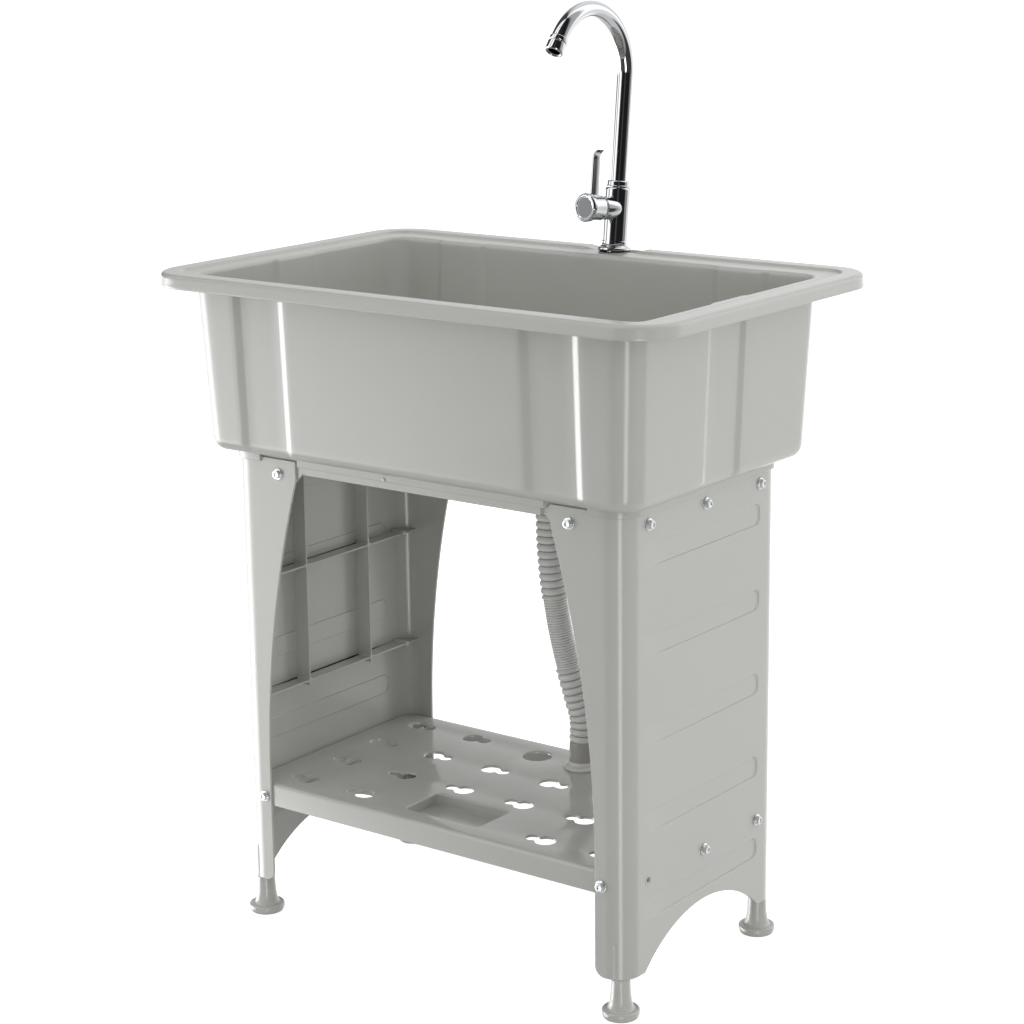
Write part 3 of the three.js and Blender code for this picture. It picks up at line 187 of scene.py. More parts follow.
upper = walls([
    (-180, 0.04), (-174, 0.04), (-168, 1.0), (-151, 1.0), (-148, 0.22), (-138, 0.22), (-135, 1.0),
    (-112, 1.0), (-104, 0.10), (-96, 0.01), (-62, 0.01), (-54, 0.06), (-44, 0.01), (12, 0.01),
    (24, 0.30), (42, 0.35), (50, 1.0), (66, 1.0), (78, 0.5), (98, 0.6), (121, 0.56), (128, 0.44),
    (136, 0.38), (144, 0.24), (152, 0.04), (180, 0.04)], 1.8)
lower = walls([
    (-180, 0.3), (-168, 0.95), (-150, 0.95), (-143, 0.74), (-137, 0.42), (-131, 0.18), (-124, 0.06),
    (-114, 0.01), (-60, 0.006), (-56, 0.5), (-45, 0.5), (-41, 0.006), (38, 0.006), (45, 0.10),
    (62, 0.10), (76, 0.14), (118, 0.16), (135, 0.10), (180, 0.3)], 11)
low_hall = either(climb(-0.62, -0.42), even(0.8, 1.0), lower)
hall = either(climb(-0.08, 0.0), low_hall, upper)
room = either(ray.outputs["Is Glossy Ray"], even(1.0, 0.61), hall)
seen = either(ray.outputs["Is Camera Ray"], room, even(1.0, 1.0))
links.new(seen, nodes["World Output"].inputs["Surface"])

# ---- side panels ----------------------------------------------------------------------------
# Each end of the stand is one moulding of grey plastic: a U-channel whose flanges widen upwards
# along a large arc, with an arch between its legs, five sunk bands, a grid of ribs and two foot
# sockets. Its top and bottom are bolted to the tub and the shelf.
SPAN, DEPTH, WALL, CORNER = 277.0, 156.0, 3.0, 26.0
PANEL_BOTTOM, PANEL_TOP = 46.5, 566.7
LEG_EDGE, TAB_EDGE, TAB_END, TAB_TOP = 236.0, 180.0, 231.0, 572.0
FLARE_FOOT, FLARE_HEAD = 180.0, 550.0
ARCH_HALF, ARCH_TOP = 118.0, 94.3
BAND_MIDDLES = 120 + 99.9 * np.arange(5)
BAND_HALF, BAND_DEPTH, BAND_FRONT, BAND_BACK = 12.5, 1.6, -118.0, 113.0
RIB_DEPTH, RIB_UPRIGHTS, RIB_LEVELS, RIB_TOP = 20.0, (-58, 58), (271, 416), 538.0
BOSS_PLACES = (-58, 58, 128)
RIB_HALF, RIB_DRAFT, RIB_TAIL = 1.4, 0.35, 6.5
FOOT_X, FOOT_Y, SOCKET_RADIUS, SOCKET_BORE, SOCKET_HEIGHT = 261.0, 142.5, 9.0, 5.3, 40.0
SPARE_Y, SPARE_Z, SPARE_RADIUS, SPARE_PATCH = -112.0, 153.5, 2.9, 6.0
ARCH_ROWS, TAB_ROWS, HEEL = 100.0, 555.0, 12.0


def satin_plastic(name, colour, gloss_low, gloss_high):
    """Moulded plastic: a colour that drifts by two percent in soft clouds, a gloss that varies
    between two roughnesses, and the faint orange peel of the mould, all from noise in metres."""
    material = bpy.data.materials.new(name)
    material.use_nodes = True
    nodes, links = material.node_tree.nodes, material.node_tree.links
    shader = nodes["Principled BSDF"]
    shader.inputs["IOR"].default_value = 1.49
    place = nodes.new("ShaderNodeTexCoord")
    clouds = nodes.new("ShaderNodeTexNoise")
    clouds.inputs["Scale"].default_value = 7
    clouds.inputs["Detail"].default_value = 4
    tint = nodes.new("ShaderNodeMix")
    tint.data_type = "RGBA"
    tint.inputs["A"].default_value = (*(0.975 * c for c in colour), 1)
    tint.inputs["B"].default_value = (*(1.025 * c for c in colour), 1)
    sheen = nodes.new("ShaderNodeTexNoise")
    sheen.inputs["Scale"].default_value = 28
    sheen.inputs["Detail"].default_value = 5
    polish = nodes.new("ShaderNodeMapRange")
    polish.inputs["To Min"].default_value = gloss_low
    polish.inputs["To Max"].default_value = gloss_high
    peel = nodes.new("ShaderNodeTexNoise")
    peel.inputs["Scale"].default_value = 420
    peel.inputs["Detail"].default_value = 2
    bump = nodes.new("ShaderNodeBump")
    bump.inputs["Strength"].default_value = 0.12
    bump.inputs["Distance"].default_value = 0.0002
    for texture in (clouds, sheen, peel):
        links.new(place.outputs["Object"], texture.inputs["Vector"])
    links.new(clouds.outputs["Fac"], tint.inputs["Factor"])
    links.new(tint.outputs["Result"], shader.inputs["Base Color"])
    links.new(sheen.outputs["Fac"], polish.inputs["Value"])
    links.new(polish.outputs["Result"], shader.inputs["Roughness"])
    links.new(peel.outputs["Fac"], bump.inputs["Height"])
    links.new(bump.outputs["Normal"], shader.inputs["Normal"])
    return material


WARM_GREY = (0.52, 0.526, 0.492)
grey_plastic = satin_plastic("grey_plastic", WARM_GREY, 0.17, 0.25)


def grid_faces(points, wrap_rows, wrap_columns, start):
    """Quads of a grid [rows, columns, 3]: (i, j), (i, j+1), (i+1, j+1), (i+1, j)."""
    rows, columns = points.shape[:2]
    down, across = np.arange(rows - (not wrap_rows)), np.arange(columns - (not wrap_columns))
    i, j = np.meshgrid(down, across, indexing="ij")
    k, n = (i + 1) % rows, (j + 1) % columns
    quads = np.stack([i * columns + j, i * columns + n, k * columns + n, k * columns + j], -1)
    return quads.reshape(-1, 4) + start


def piece(name, grids, body, material, node=None, fills=(), sharp=35, edge=0.0, mirror=False):
    """One object from closed skins: grids as (points, wrap rows, wrap columns) and filled rings
    as (points, triangles). Doubles are merged, faces turned outwards, edges over the sharp
    angle kept crisp or, where an edge width is given, bevelled."""
    verts, faces, start = [], [], 0
    for points, wrap_rows, wrap_columns in grids:
        verts.append(points.reshape(-1, 3))
        faces.extend(map(tuple, grid_faces(points, wrap_rows, wrap_columns, start).tolist()))
        start += verts[-1].shape[0]
    for points, triangles in fills:
        verts.append(points)
        faces.extend(map(tuple, (np.asarray(triangles) + start).tolist()))
        start += len(points)
    where = np.concatenate(verts) * ((-1, 1, 1) if mirror else (1, 1, 1))
    mesh = bpy.data.meshes.new(name)
    mesh.from_pydata(in_frame(where).tolist(), [], faces)
    work = bmesh.new()
    work.from_mesh(mesh)
    bmesh.ops.remove_doubles(work, verts=work.verts, dist=2e-6)
    bmesh.ops.dissolve_degenerate(work, edges=work.edges, dist=1e-6)
    bmesh.ops.recalc_face_normals(work, faces=work.faces)
    work.to_mesh(mesh)
    work.free()
    mesh.polygons.foreach_set("use_smooth", np.ones(len(mesh.polygons), bool))
    mesh.set_sharp_from_angle(angle=math.radians(sharp))
    mesh.materials.append(material)
    made = bpy.data.objects.new(name, mesh)
    bpy.context.scene.collection.objects.link(made)
    if edge:
        bevel = made.modifiers.new("edges", "BEVEL")
        bevel.width = edge / 1000
        bevel.segments = 2
        bevel.limit_method = "ANGLE"
        bevel.angle_limit = math.radians(sharp + 5)
        bevel.harden_normals = True
    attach(made, body)
    if node:
        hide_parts(node)
    return made


def flange_edge(z):
    """The flange's inner edge: x = 236 up to z = 180, then 236 - (R - sqrt(R^2 - (z - 180)^2))."""
    rise, run = FLARE_HEAD - FLARE_FOOT, LEG_EDGE - TAB_EDGE
    radius = (rise**2 + run**2) / (2 * run)
    climb = np.clip(z - FLARE_FOOT, 0, rise)
    return LEG_EDGE - (radius - np.sqrt(radius**2 - climb**2))


def band_depth(y, z):
    """Depth of the sunk bands: a stadium's edge as a smooth step 1 mm wide, deeper to the back."""
    near = np.abs(z[..., None] - BAND_MIDDLES).min(-1)
    end_flat, edge_start, fade_length = 2, 0.2, 30
    end_round = BAND_HALF - end_flat
    beyond = np.maximum(y - (BAND_BACK - end_round), 0)
    at_end = end_round - np.hypot(np.maximum(near - end_flat, 0), beyond)
    inside = np.where(beyond > 0, at_end, BAND_HALF - near)
    step = np.clip(inside + edge_start, 0, 1)
    share = np.clip((y - BAND_FRONT) / (BAND_BACK - BAND_FRONT), 0, 1)
    fade = np.clip((y - BAND_FRONT) / fade_length, 0, 1)
    return BAND_DEPTH * (0.7 + 0.3 * share) * fade * step**2 * (3 - 2 * step)


def panel_skin(inset):
    """The channel's skin at an inset from its outer face, as a grid over (height, way round):
    along the front flange, round the corner, along the side and back again, each row at
    z = z_low + share (z_top - z_low) near the arch and the tab, and level between them."""
    half_band = np.array([3, 8, 10.4, 11, 11.3, 11.6, 11.9, 12.2, 12.5, 12.8, 13.4, 18])
    across_band = np.concatenate([-half_band[::-1], half_band])
    heights = np.concatenate([
        np.linspace(PANEL_BOTTOM, ARCH_ROWS, 16),
        *(m + np.concatenate([across_band, [27, 36, 45, 54, 63, 72]]) for m in BAND_MIDDLES[:4]),
        BAND_MIDDLES[4] + across_band,
        [544, 550, TAB_ROWS, 560, PANEL_TOP],
    ])
    near_hole = np.array([-6.5, -4.4, -2.9, -1.45, 0, 1.45, 2.9, 4.4, 6.5])
    heights = np.sort(np.append(heights[np.abs(heights - SPARE_Z) > 7], SPARE_Z + near_hole))
    near_edge = np.array([
        0, 0.03, 0.08, 0.16, 0.26, 0.36, 0.46, 0.56, 0.66, 0.7183, 0.7225, 0.82, 0.91])
    arc = np.linspace(0, math.pi / 2, 11)
    side = np.concatenate([
        np.linspace(CORNER - DEPTH, -ARCH_HALF, 4)[:-1],
        [-ARCH_HALF],
        SPARE_Y + near_hole[1:],
        np.linspace(-100, 96, 34),
        [99, 101, 103, 105, 107, 109, 110.5, 111.7, 112.6, 113.4, 114.4, 116, ARCH_HALF],
        np.linspace(ARCH_HALF, DEPTH - CORNER, 4)[1:],
    ])
    radius = CORNER - inset
    z = np.repeat(heights[:, None], 2 * near_edge.size + 2 * arc.size + side.size - 2, 1)
    x, y = np.empty_like(z), np.empty_like(z)
    a, b = near_edge.size, near_edge.size + arc.size
    c = b + side.size - 1
    d = c + arc.size - 1
    edge = flange_edge(z[:, :a])
    corner_x = SPAN - CORNER
    x[:, :a] = edge + near_edge * (corner_x - edge)
    y[:, :a] = -DEPTH + inset
    x[:, a:b] = corner_x + radius * np.sin(arc)
    y[:, a:b] = -DEPTH + CORNER - radius * np.cos(arc)
    x[:, b - 1:c] = SPAN - inset
    y[:, b - 1:c] = side
    x[:, c - 1:d] = corner_x + radius * np.cos(arc)
    y[:, c - 1:d] = DEPTH - CORNER + radius * np.sin(arc)
    x[:, d:] = x[:, a - 1::-1]
    y[:, d:] = DEPTH - inset
    arch_radius = (ARCH_HALF**2 + (ARCH_TOP - PANEL_BOTTOM) ** 2) / (2 * (ARCH_TOP - PANEL_BOTTOM))
    z_low = np.full(z.shape, PANEL_BOTTOM)
    under = (np.abs(y) <= ARCH_HALF) & (x > corner_x)
    z_low[under] = ARCH_TOP - arch_radius + np.sqrt(arch_radius**2 - y[under] ** 2)
    heel = HEEL - np.minimum(x - LEG_EDGE, HEEL)
    heel = np.where(np.abs(y) > DEPTH - CORNER, np.clip(heel, 0, HEEL), 0)
    z_low = z_low + HEEL - np.sqrt(HEEL**2 - heel**2)
    z_top = np.where((x < TAB_END + 0.05) & (np.abs(y) > DEPTH - 4), TAB_TOP, PANEL_TOP)
    low_share = (z - PANEL_BOTTOM) / (ARCH_ROWS - PANEL_BOTTOM)
    z = np.where(z <= ARCH_ROWS, z_low + low_share * (ARCH_ROWS - z_low), z)
    top_share = (z - TAB_ROWS) / (PANEL_TOP - TAB_ROWS)
    z = np.where(z > TAB_ROWS, TAB_ROWS + top_share * (z_top - TAB_ROWS), z)
    flat = (np.abs(y) < DEPTH - CORNER + 0.5) & (x > SPAN - inset - 0.01)
    x = x - np.where(flat, band_depth(y, z), 0)
    across, over = y - SPARE_Y, z - SPARE_Z
    square = np.maximum(np.abs(across), np.abs(over))
    pull = np.clip((SPARE_PATCH - square) / (SPARE_PATCH - SPARE_RADIUS), 0, 1) * flat
    scale = 1 + pull * (square / np.maximum(np.hypot(across, over), 1e-6) - 1)
    return np.stack([x, SPARE_Y + across * scale, SPARE_Z + over * scale], -1)


def cut_out(skin):
    """A panel skin's quads less those of the spare bolt hole, and the hole's edge as a ring."""
    level_row, reach = skin[40], SPARE_RADIUS + 0.1
    on_side = level_row[:, 0] > SPAN - 2 * WALL
    columns = np.flatnonzero((np.abs(level_row[:, 1] - SPARE_Y) < reach) & on_side)
    rows = np.flatnonzero(np.abs(skin[:, columns[2], 2] - SPARE_Z) < reach)
    quads = grid_faces(skin, False, False, 0)
    row, column = quads[:, 0] // skin.shape[1], quads[:, 0] % skin.shape[1]
    hole = (row >= rows[0]) & (row < rows[-1]) & (column >= columns[0]) & (column < columns[-1])
    block = skin[rows[0]:rows[-1] + 1, columns[0]:columns[-1] + 1]
    ring = np.concatenate([block[0, :-1], block[:-1, -1], block[-1, :0:-1], block[:0:-1, 0]])
    return (skin.reshape(-1, 3), quads[~hole].tolist()), ring


def slab(x0, x1, y0, y1, z0, z1, thin=0.0):
    """A plate as a closed grid of four rings; its face at x0 is narrower by the given draft."""
    rows = []
    for x, shrink, draft in ((x0, 1, 1), (x0, 0, 1), (x1, 0, 0), (x1, 1, 0)):
        ring = np.array([(y0, z0), (y1, z0), (y1, z1), (y0, z1)], float)
        middle = ring.mean(0)
        ring += draft * np.sign(middle - ring) * (thin, 0)
        ring = np.where(shrink, middle, ring)
        rows.append(np.column_stack([np.full(4, float(x)), ring]))
    return np.array(rows), False, True


def turned(profile, sides, centre=(0, 0, 0), axis=(0, 0, 1)):
    """A turned skin: (r cos t, r sin t, h) for each [r, h] of the profile, stood along the axis."""
    r, h = np.asarray(profile, float).T
    t = np.linspace(0, 2 * math.pi, sides, endpoint=False)
    heights = np.repeat(h[:, None], sides, 1)
    local = np.stack([np.outer(r, np.cos(t)), np.outer(r, np.sin(t)), heights], -1)
    turn = np.array(Vector(axis).to_track_quat("Z", "Y").to_matrix())
    return local @ turn.T + centre, False, True


def softened(corners, steps=4):
    """A profile of [r, h, fillet] corners with each corner rounded: a Bezier arc between the
    points that lie a fillet's length before and after it."""
    points = np.array([corner[:2] for corner in corners], float)
    fillets = [corner[2] if len(corner) > 2 else 0 for corner in corners]
    out = []
    for k, (point, fillet) in enumerate(zip(points, fillets)):
        if not fillet or k in (0, len(points) - 1):
            out.append(point[None])
            continue
        before, after = points[k - 1] - point, points[k + 1] - point
        before *= fillet / np.hypot(*before)
        after *= fillet / np.hypot(*after)
        t = np.linspace(0, 1, steps + 1)[:, None]
        out.append(point + before * (1 - t) ** 2 + after * t**2)
    return np.concatenate(out)


def level_rib(z, tip):
    """A level rib as a closed plate: its plan is the channel's inside, cut off at x = tip, and its
    half thickness RIB_HALF - RIB_DRAFT (SPAN - x) / RIB_DEPTH narrows towards the free edge."""
    radius = CORNER - WALL / 2
    start = math.asin((tip - SPAN + CORNER) / radius)
    t = np.linspace(start, math.pi / 2, 14)
    x, y = SPAN - CORNER + radius * np.sin(t), DEPTH - CORNER + radius * np.cos(t)
    plan = np.column_stack([np.concatenate([x, x[::-1]]), np.concatenate([-y, y[::-1]])])
    middle = np.repeat([((tip + SPAN) / 2, 0.0)], len(plan), 0)
    rows = []
    for ring, side in ((middle, -1), (plan, -1), (plan, 1), (middle, 1)):
        half = RIB_HALF - RIB_DRAFT * (SPAN - ring[:, :1]) / RIB_DEPTH
        rows.append(np.column_stack([ring, z + side * half]))
    return np.array(rows), False, True


def panel(name, mirror):
    """A whole side panel: its two skins and the rims between them, the ribs with their bosses,
    and the foot sockets with their webs. Only the right one has the empty bolt hole."""
    outer, inner = panel_skin(0), panel_skin(WALL)
    shell = np.stack([outer, inner], 0)
    rim_rows = [(shell[:, k], False, False) for k in (0, -1)]
    rim_columns = [(shell[:, :, k], False, False) for k in (0, -1)]
    skins, fills = [*rim_rows, *rim_columns], []
    if mirror:
        skins += [(outer, False, False), (inner, False, False)]
    else:
        (outside, outer_edge), (inside, inner_edge) = cut_out(outer), cut_out(inner)
        fills += [outside, inside]
        skins.append((np.array([outer_edge, inner_edge]), False, True))
        raised = softened([(4.2, -0.6), (4.4, 0.5, 0.3), (6.2, 0.5, 0.5), (6.7, -0.6), (4.2, -0.6)])
        skins.append(turned(raised, 32, (SPAN, SPARE_Y, SPARE_Z), (1, 0, 0)))
    tip = SPAN - WALL - RIB_DEPTH
    low_rib = RIB_LEVELS[0]
    for y in RIB_UPRIGHTS:
        near, far = y - RIB_HALF, y + RIB_HALF
        skins.append(slab(tip, SPAN - 1.7, near, far, low_rib, RIB_TOP, RIB_DRAFT))
        skins.append(slab(tip + 0.5, tip + 13, near, far, low_rib - RIB_TAIL, low_rib, RIB_DRAFT))
    boss = softened([(0, 0.6), (1.4, 0.6, 0.4), (1.9, 0, 0.3), (3.6, 0, 0.6), (4.1, RIB_DEPTH)])
    boss = np.vstack([boss, (0, RIB_DEPTH)])
    for z in RIB_LEVELS:
        skins.append(level_rib(z, tip))
        skins += [turned(boss, 20, (tip - 0.8, y, z), (1, 0, 0)) for y in BOSS_PLACES]
    socket = softened([
        (SOCKET_BORE, 0.5), (SOCKET_RADIUS, 0, 0.8), (SOCKET_RADIUS, SOCKET_HEIGHT, 0.8),
        (SOCKET_BORE, SOCKET_HEIGHT, 0.5), (SOCKET_BORE, 0.5)])
    web_low, web_high = PANEL_BOTTOM + 2, PANEL_BOTTOM + SOCKET_HEIGHT
    for side in (-1, 1):
        y = side * FOOT_Y
        skins.append(turned(socket, 28, (FOOT_X, y, PANEL_BOTTOM)))
        skins.append(slab(FOOT_X, SPAN - 8, y - 1.3, y + 1.3, web_low, web_high))
        edges = sorted((y, side * (DEPTH - WALL / 2)))
        skins.append(slab(FOOT_X - 1.3, FOOT_X + 1.3, *edges, web_low, web_high))
    piece(
        name, skins, "stand", grey_plastic, name.replace("_skin", ""),
        fills=fills, edge=0.5, mirror=mirror)


panel("panel_right_skin", False)
panel("panel_left_skin", True)

# ---- shelf ----------------------------------------------------------------------------------
# The slotted deck is a moulded tray turned upside down, bolted between the legs. It has
# pear-shaped drain slots, a sunk tray at the front and two round holes for pipes at the back.
SHELF_TOP, SHELF_LOW, SHELF_WALL, SHELF_ROUND = 170.0, 142.0, 3.0, 5.0
SHELF_X, SHELF_Y, SHELF_CORNER = 273.7, 152.7, 22.7
SLOT_X, SLOT_Y = 87.6 * (np.arange(6) - 2.5), 77.0 * (np.arange(4) - 1.5)
SLOT_BIG, SLOT_SMALL, SLOT_SPREAD, SLOT_EDGE = 12.5, 8.0, 18.0, 0.9
SLOT_GAP, SLOT_WAIST = math.radians(50), 0.92
TRAY, TRAY_CORNER = (-53.5, 53.5, -127.0, -65.0), 7
TRAY_DEPTH, TRAY_EDGE, TRAY_FILLET = 14.0, 1.4, 1.2
PIPE_X, PIPE_Y, PIPE_HOLE = 34.0, 108.0, 18.5


def plate_ring(x0, x1, y0, y1, radius, steps=10):
    """A rounded rectangle's outline, anticlockwise: corner centre + radius (cos t, sin t)."""
    t = np.linspace(0, math.pi / 2, steps + 1)
    left, right, front, back = x0 + radius, x1 - radius, y0 + radius, y1 - radius
    arcs = []
    for k, centre in enumerate([(right, back), (left, back), (left, front), (right, front)]):
        angle = t + k * math.pi / 2
        arcs.append(centre + radius * np.column_stack([np.cos(angle), np.sin(angle)]))
    return np.concatenate(arcs)


def slot_ring(x, y, way):
    """A pear's outline: two lobes as arcs, joined by quadratic curves through a drawn-in waist."""
    big, small = -SLOT_SPREAD / 2, SLOT_SPREAD / 2
    t = np.linspace(SLOT_GAP, 2 * math.pi - SLOT_GAP, 22)
    lobe = np.column_stack([big + SLOT_BIG * np.cos(t), SLOT_BIG * np.sin(t)])
    s = np.linspace(-math.pi + SLOT_GAP, math.pi - SLOT_GAP, 14)
    tip = np.column_stack([small + SLOT_SMALL * np.cos(s), SLOT_SMALL * np.sin(s)])
    waist = SLOT_WAIST * SLOT_SMALL * math.sin(SLOT_GAP)
    u = np.linspace(0, 1, 7)[1:-1, None]
    lower = (1 - u) ** 2 * lobe[-1] + 2 * u * (1 - u) * (0, -waist) + u**2 * tip[0]
    upper = (1 - u) ** 2 * tip[-1] + 2 * u * (1 - u) * (0, waist) + u**2 * lobe[0]
    ring = np.concatenate([lobe, lower, tip, upper])
    return ring * (way, way) + (x, y)


def grown(ring, distance):
    """A closed outline moved outwards along its normals."""
    tangent = np.roll(ring, -1, 0) - np.roll(ring, 1, 0)
    tangent /= np.linalg.norm(tangent, axis=1)[:, None]
    return ring + distance * np.column_stack([tangent[:, 1], -tangent[:, 0]])


def at_height(ring, z):
    """A flat outline lifted to a height."""
    return np.column_stack([ring, np.full(len(ring), float(z))])


def deck(outline, holes, z):
    """The flat between an outline and its holes: a Delaunay net of their points, less each
    triangle whose middle has an odd number of a hole's edges to its right."""
    rings = [outline, *holes]
    counts = np.cumsum([0] + [len(r) for r in rings])
    flat = [Vector(p) for p in np.concatenate(rings)]
    bounds = [np.arange(a, b) for a, b in zip(counts[:-1], counts[1:])]
    edges = [pair for ids in bounds for pair in zip(ids.tolist(), np.roll(ids, -1).tolist())]
    points, _, faces, *_ = delaunay_2d_cdt(flat, edges, [], 1, 1e-5)
    points, faces = np.array([tuple(p) for p in points]), np.array(faces)
    middle = points[faces].mean(1)
    kept = np.ones(len(faces), bool)
    for ring in holes:
        ahead = np.roll(ring, -1, 0)
        crosses = (ring[:, 1] > middle[:, 1, None]) != (ahead[:, 1] > middle[:, 1, None])
        rise = np.where(ahead[:, 1] == ring[:, 1], 1, ahead[:, 1] - ring[:, 1])
        meet = ring[:, 0] + (middle[:, 1, None] - ring[:, 1]) * (ahead[:, 0] - ring[:, 0]) / rise
        kept &= (crosses & (middle[:, 0, None] < meet)).sum(1) % 2 == 0
    return np.column_stack([points, np.full(len(points), float(z))]), faces[kept].tolist()


def around(rings_and_heights):
    """A skin through outlines at their heights."""
    return np.array([at_height(ring, z) for ring, z in rings_and_heights]), False, True


def shelf_ring(inset):
    """The shelf's outline at an inset from its outer face."""
    x, y = SHELF_X - inset, SHELF_Y - inset
    return plate_ring(-x, x, -y, y, SHELF_CORNER - inset)


def rolled(ring, radius):
    """A hole's rounded edge: grown by r (1 - sin q) at r (1 - cos q) below the deck's top."""
    rings = []
    for q in quarter:
        out, drop = radius * (1 - math.sin(q)), radius * (1 - math.cos(q))
        rings.append((grown(ring, out), SHELF_TOP - drop))
    return rings


quarter = np.linspace(0, math.pi / 2, 6)
slots = []
for row, y in enumerate(SLOT_Y):
    for x in SLOT_X:
        if not (abs(x) < 80 and row in (0, 3)):
            slots.append(slot_ring(x, y, -1 if row < 2 else 1))
circle = np.linspace(0, 2 * math.pi, 40, endpoint=False)
pipe_hole = PIPE_HOLE * np.column_stack([np.cos(circle), np.sin(circle)])
slots += [pipe_hole + (side * PIPE_X, PIPE_Y) for side in (-1, 1)]
under_deck = SHELF_TOP - SHELF_WALL
skins = [around(rolled(ring, SLOT_EDGE) + [(ring, under_deck + 0.01)]) for ring in slots]

low_edge = 0.6
skirt = []
for q in quarter:
    skirt.append((SHELF_ROUND * (1 - math.sin(q)), SHELF_TOP - SHELF_ROUND * (1 - math.cos(q))))
skirt += [(0, SHELF_LOW + low_edge), (low_edge, SHELF_LOW), (SHELF_WALL - low_edge, SHELF_LOW)]
skirt += [(SHELF_WALL, SHELF_LOW + low_edge), (SHELF_WALL, under_deck)]
skins.append(around([(shelf_ring(inset), z) for inset, z in skirt]))

tray_top, tray_floor = plate_ring(*TRAY, TRAY_CORNER), SHELF_TOP - TRAY_DEPTH
tray_under = grown(tray_top, SHELF_WALL)
tray = rolled(tray_top, TRAY_EDGE)
for q in quarter:
    inset, rise = TRAY_FILLET * (1 - math.cos(q)), TRAY_FILLET * (1 - math.sin(q))
    tray.append((grown(tray_top, -inset), tray_floor + rise))
skins += [around(tray), around([(tray_under, under_deck), (tray_under, tray_floor - SHELF_WALL)])]
top_holes = [grown(ring, SLOT_EDGE) for ring in slots] + [grown(tray_top, TRAY_EDGE)]
fills = [
    deck(shelf_ring(SHELF_ROUND), top_holes, SHELF_TOP),
    deck(shelf_ring(SHELF_WALL), slots + [tray_under], under_deck),
    deck(grown(tray_top, -TRAY_FILLET), [], tray_floor),
    deck(tray_under, [], tray_floor - SHELF_WALL),
]
shelf_plastic = satin_plastic("shelf_plastic", WARM_GREY, 0.10, 0.16)
piece("shelf_deck", skins, "stand", shelf_plastic, "shelf", fills=fills)

# ---- tub ------------------------------------------------------------------------------------
# The bowl, its stepped rim and the apron under it are one moulding. The walls lean inwards
# and have a shallow flute near each end and in the middle of each short side.
RIM_TOP, RIM_X, RIM_FRONT, RIM_BACK, RIM_CORNER = 785.0, 352.0, -218.0, 247.0, 55.0
RIM_SKIRT, RIM_ROUND, RIM_BAND, RIM_STEP = 16.0, 5.0, 27.0, 3.0
TUB_X, TUB_FRONT, TUB_BACK, TUB_CORNER, TUB_DRAFT = 308.5, -187.0, 192.0, 28.0, 0.0425
UNDERSIDE, TUB_FILLET, LIP_ROUND, FALL = 577.0, 16.0, 5.0, 3.0
FLUTE, FLUTE_EDGE = 3.0, 11.0
FRONT_FLUTE, SIDE_FLUTE = (174.0, 229.0), (-34.0, 21.0)
DRAIN_Y = 90.0
TAP_X, TAP_Y, TAP_SEAT, TAP_LEAN = 2.0, 224.5, 781.8, math.radians(6.6)
PRESS_HALF, PRESS_EDGE, PRESS_FRONT, PRESS_BACK = 34, 9, 196, 246


def fluting(along, spans):
    """1 on a flute's flat, 0 outside it, with an S-shaped edge between: s^2 (3 - 2 s)."""
    share = np.zeros_like(along)
    for a, b in spans:
        s = np.clip(np.minimum(along - a, b - along) / FLUTE_EDGE + 1, 0, 1)
        share = np.maximum(share, s * s * (3 - 2 * s))
    return share


def tub_ring(half, front, back, corner, sunk):
    """A level of the tub: a rounded rectangle whose sides are sunk at the flutes. The straight
    sides keep their samples at fixed places, so the rings join without a twist."""
    edge = np.linspace(-FLUTE_EDGE, 0, 10)
    a, b = FRONT_FLUTE
    plain = np.linspace(0, a - FLUTE_EDGE - 6, 16)
    half_side = np.concatenate([plain, a + edge, [187, 201, 215], b - edge[::-1]])
    rest = np.linspace(half_side[-1], half - corner, 6)[1:-1]
    long_x = np.concatenate([-rest[::-1], -half_side[:0:-1], half_side, rest])
    a, b = SIDE_FLUTE
    middle = np.concatenate([a + edge, [a + 14, a + 28, a + 42], b - edge[::-1]])
    y0, y1 = front + corner, back - corner
    before, after = np.linspace(y0, middle[0], 9)[1:-1], np.linspace(middle[-1], y1, 11)[1:-1]
    short_y = np.concatenate([before, middle, after])
    t = np.linspace(0, math.pi / 2, 13)
    both = [(-FRONT_FLUTE[1], -FRONT_FLUTE[0]), FRONT_FLUTE]
    in_long, in_short = sunk * fluting(long_x, both), sunk * fluting(short_y, [SIDE_FLUTE])
    turn_x = half - corner
    arcs = []
    for k, centre in enumerate([(turn_x, y0), (turn_x, y1), (-turn_x, y1), (-turn_x, y0)]):
        angle = t + (k - 1) * math.pi / 2
        arcs.append(centre + corner * np.column_stack([np.cos(angle), np.sin(angle)]))
    sides = [
        np.column_stack([long_x, front + in_long]),
        np.column_stack([half - in_short, short_y]),
        np.column_stack([long_x, back - in_long])[::-1],
        np.column_stack([in_short - half, short_y])[::-1],
    ]
    return np.concatenate([part for pair in zip(sides, arcs) for part in pair])


def wall_ring(z, inset, sunk=FLUTE):
    """A level of the walls at an inset from their outer face, which leans in below the rim."""
    lean = (RIM_TOP - RIM_STEP - max(z, UNDERSIDE + TUB_FILLET)) * TUB_DRAFT + inset
    corner = max(TUB_CORNER - inset, 6)
    return at_height(tub_ring(TUB_X - lean, TUB_FRONT + lean, TUB_BACK - lean, corner, sunk), z)


def rim_ring(z, inset, corner=None):
    """A level of the rim at an inset from its outer edge."""
    corner = RIM_CORNER - inset if corner is None else corner
    return at_height(tub_ring(RIM_X - inset, RIM_FRONT + inset, RIM_BACK - inset, corner, 0), z)


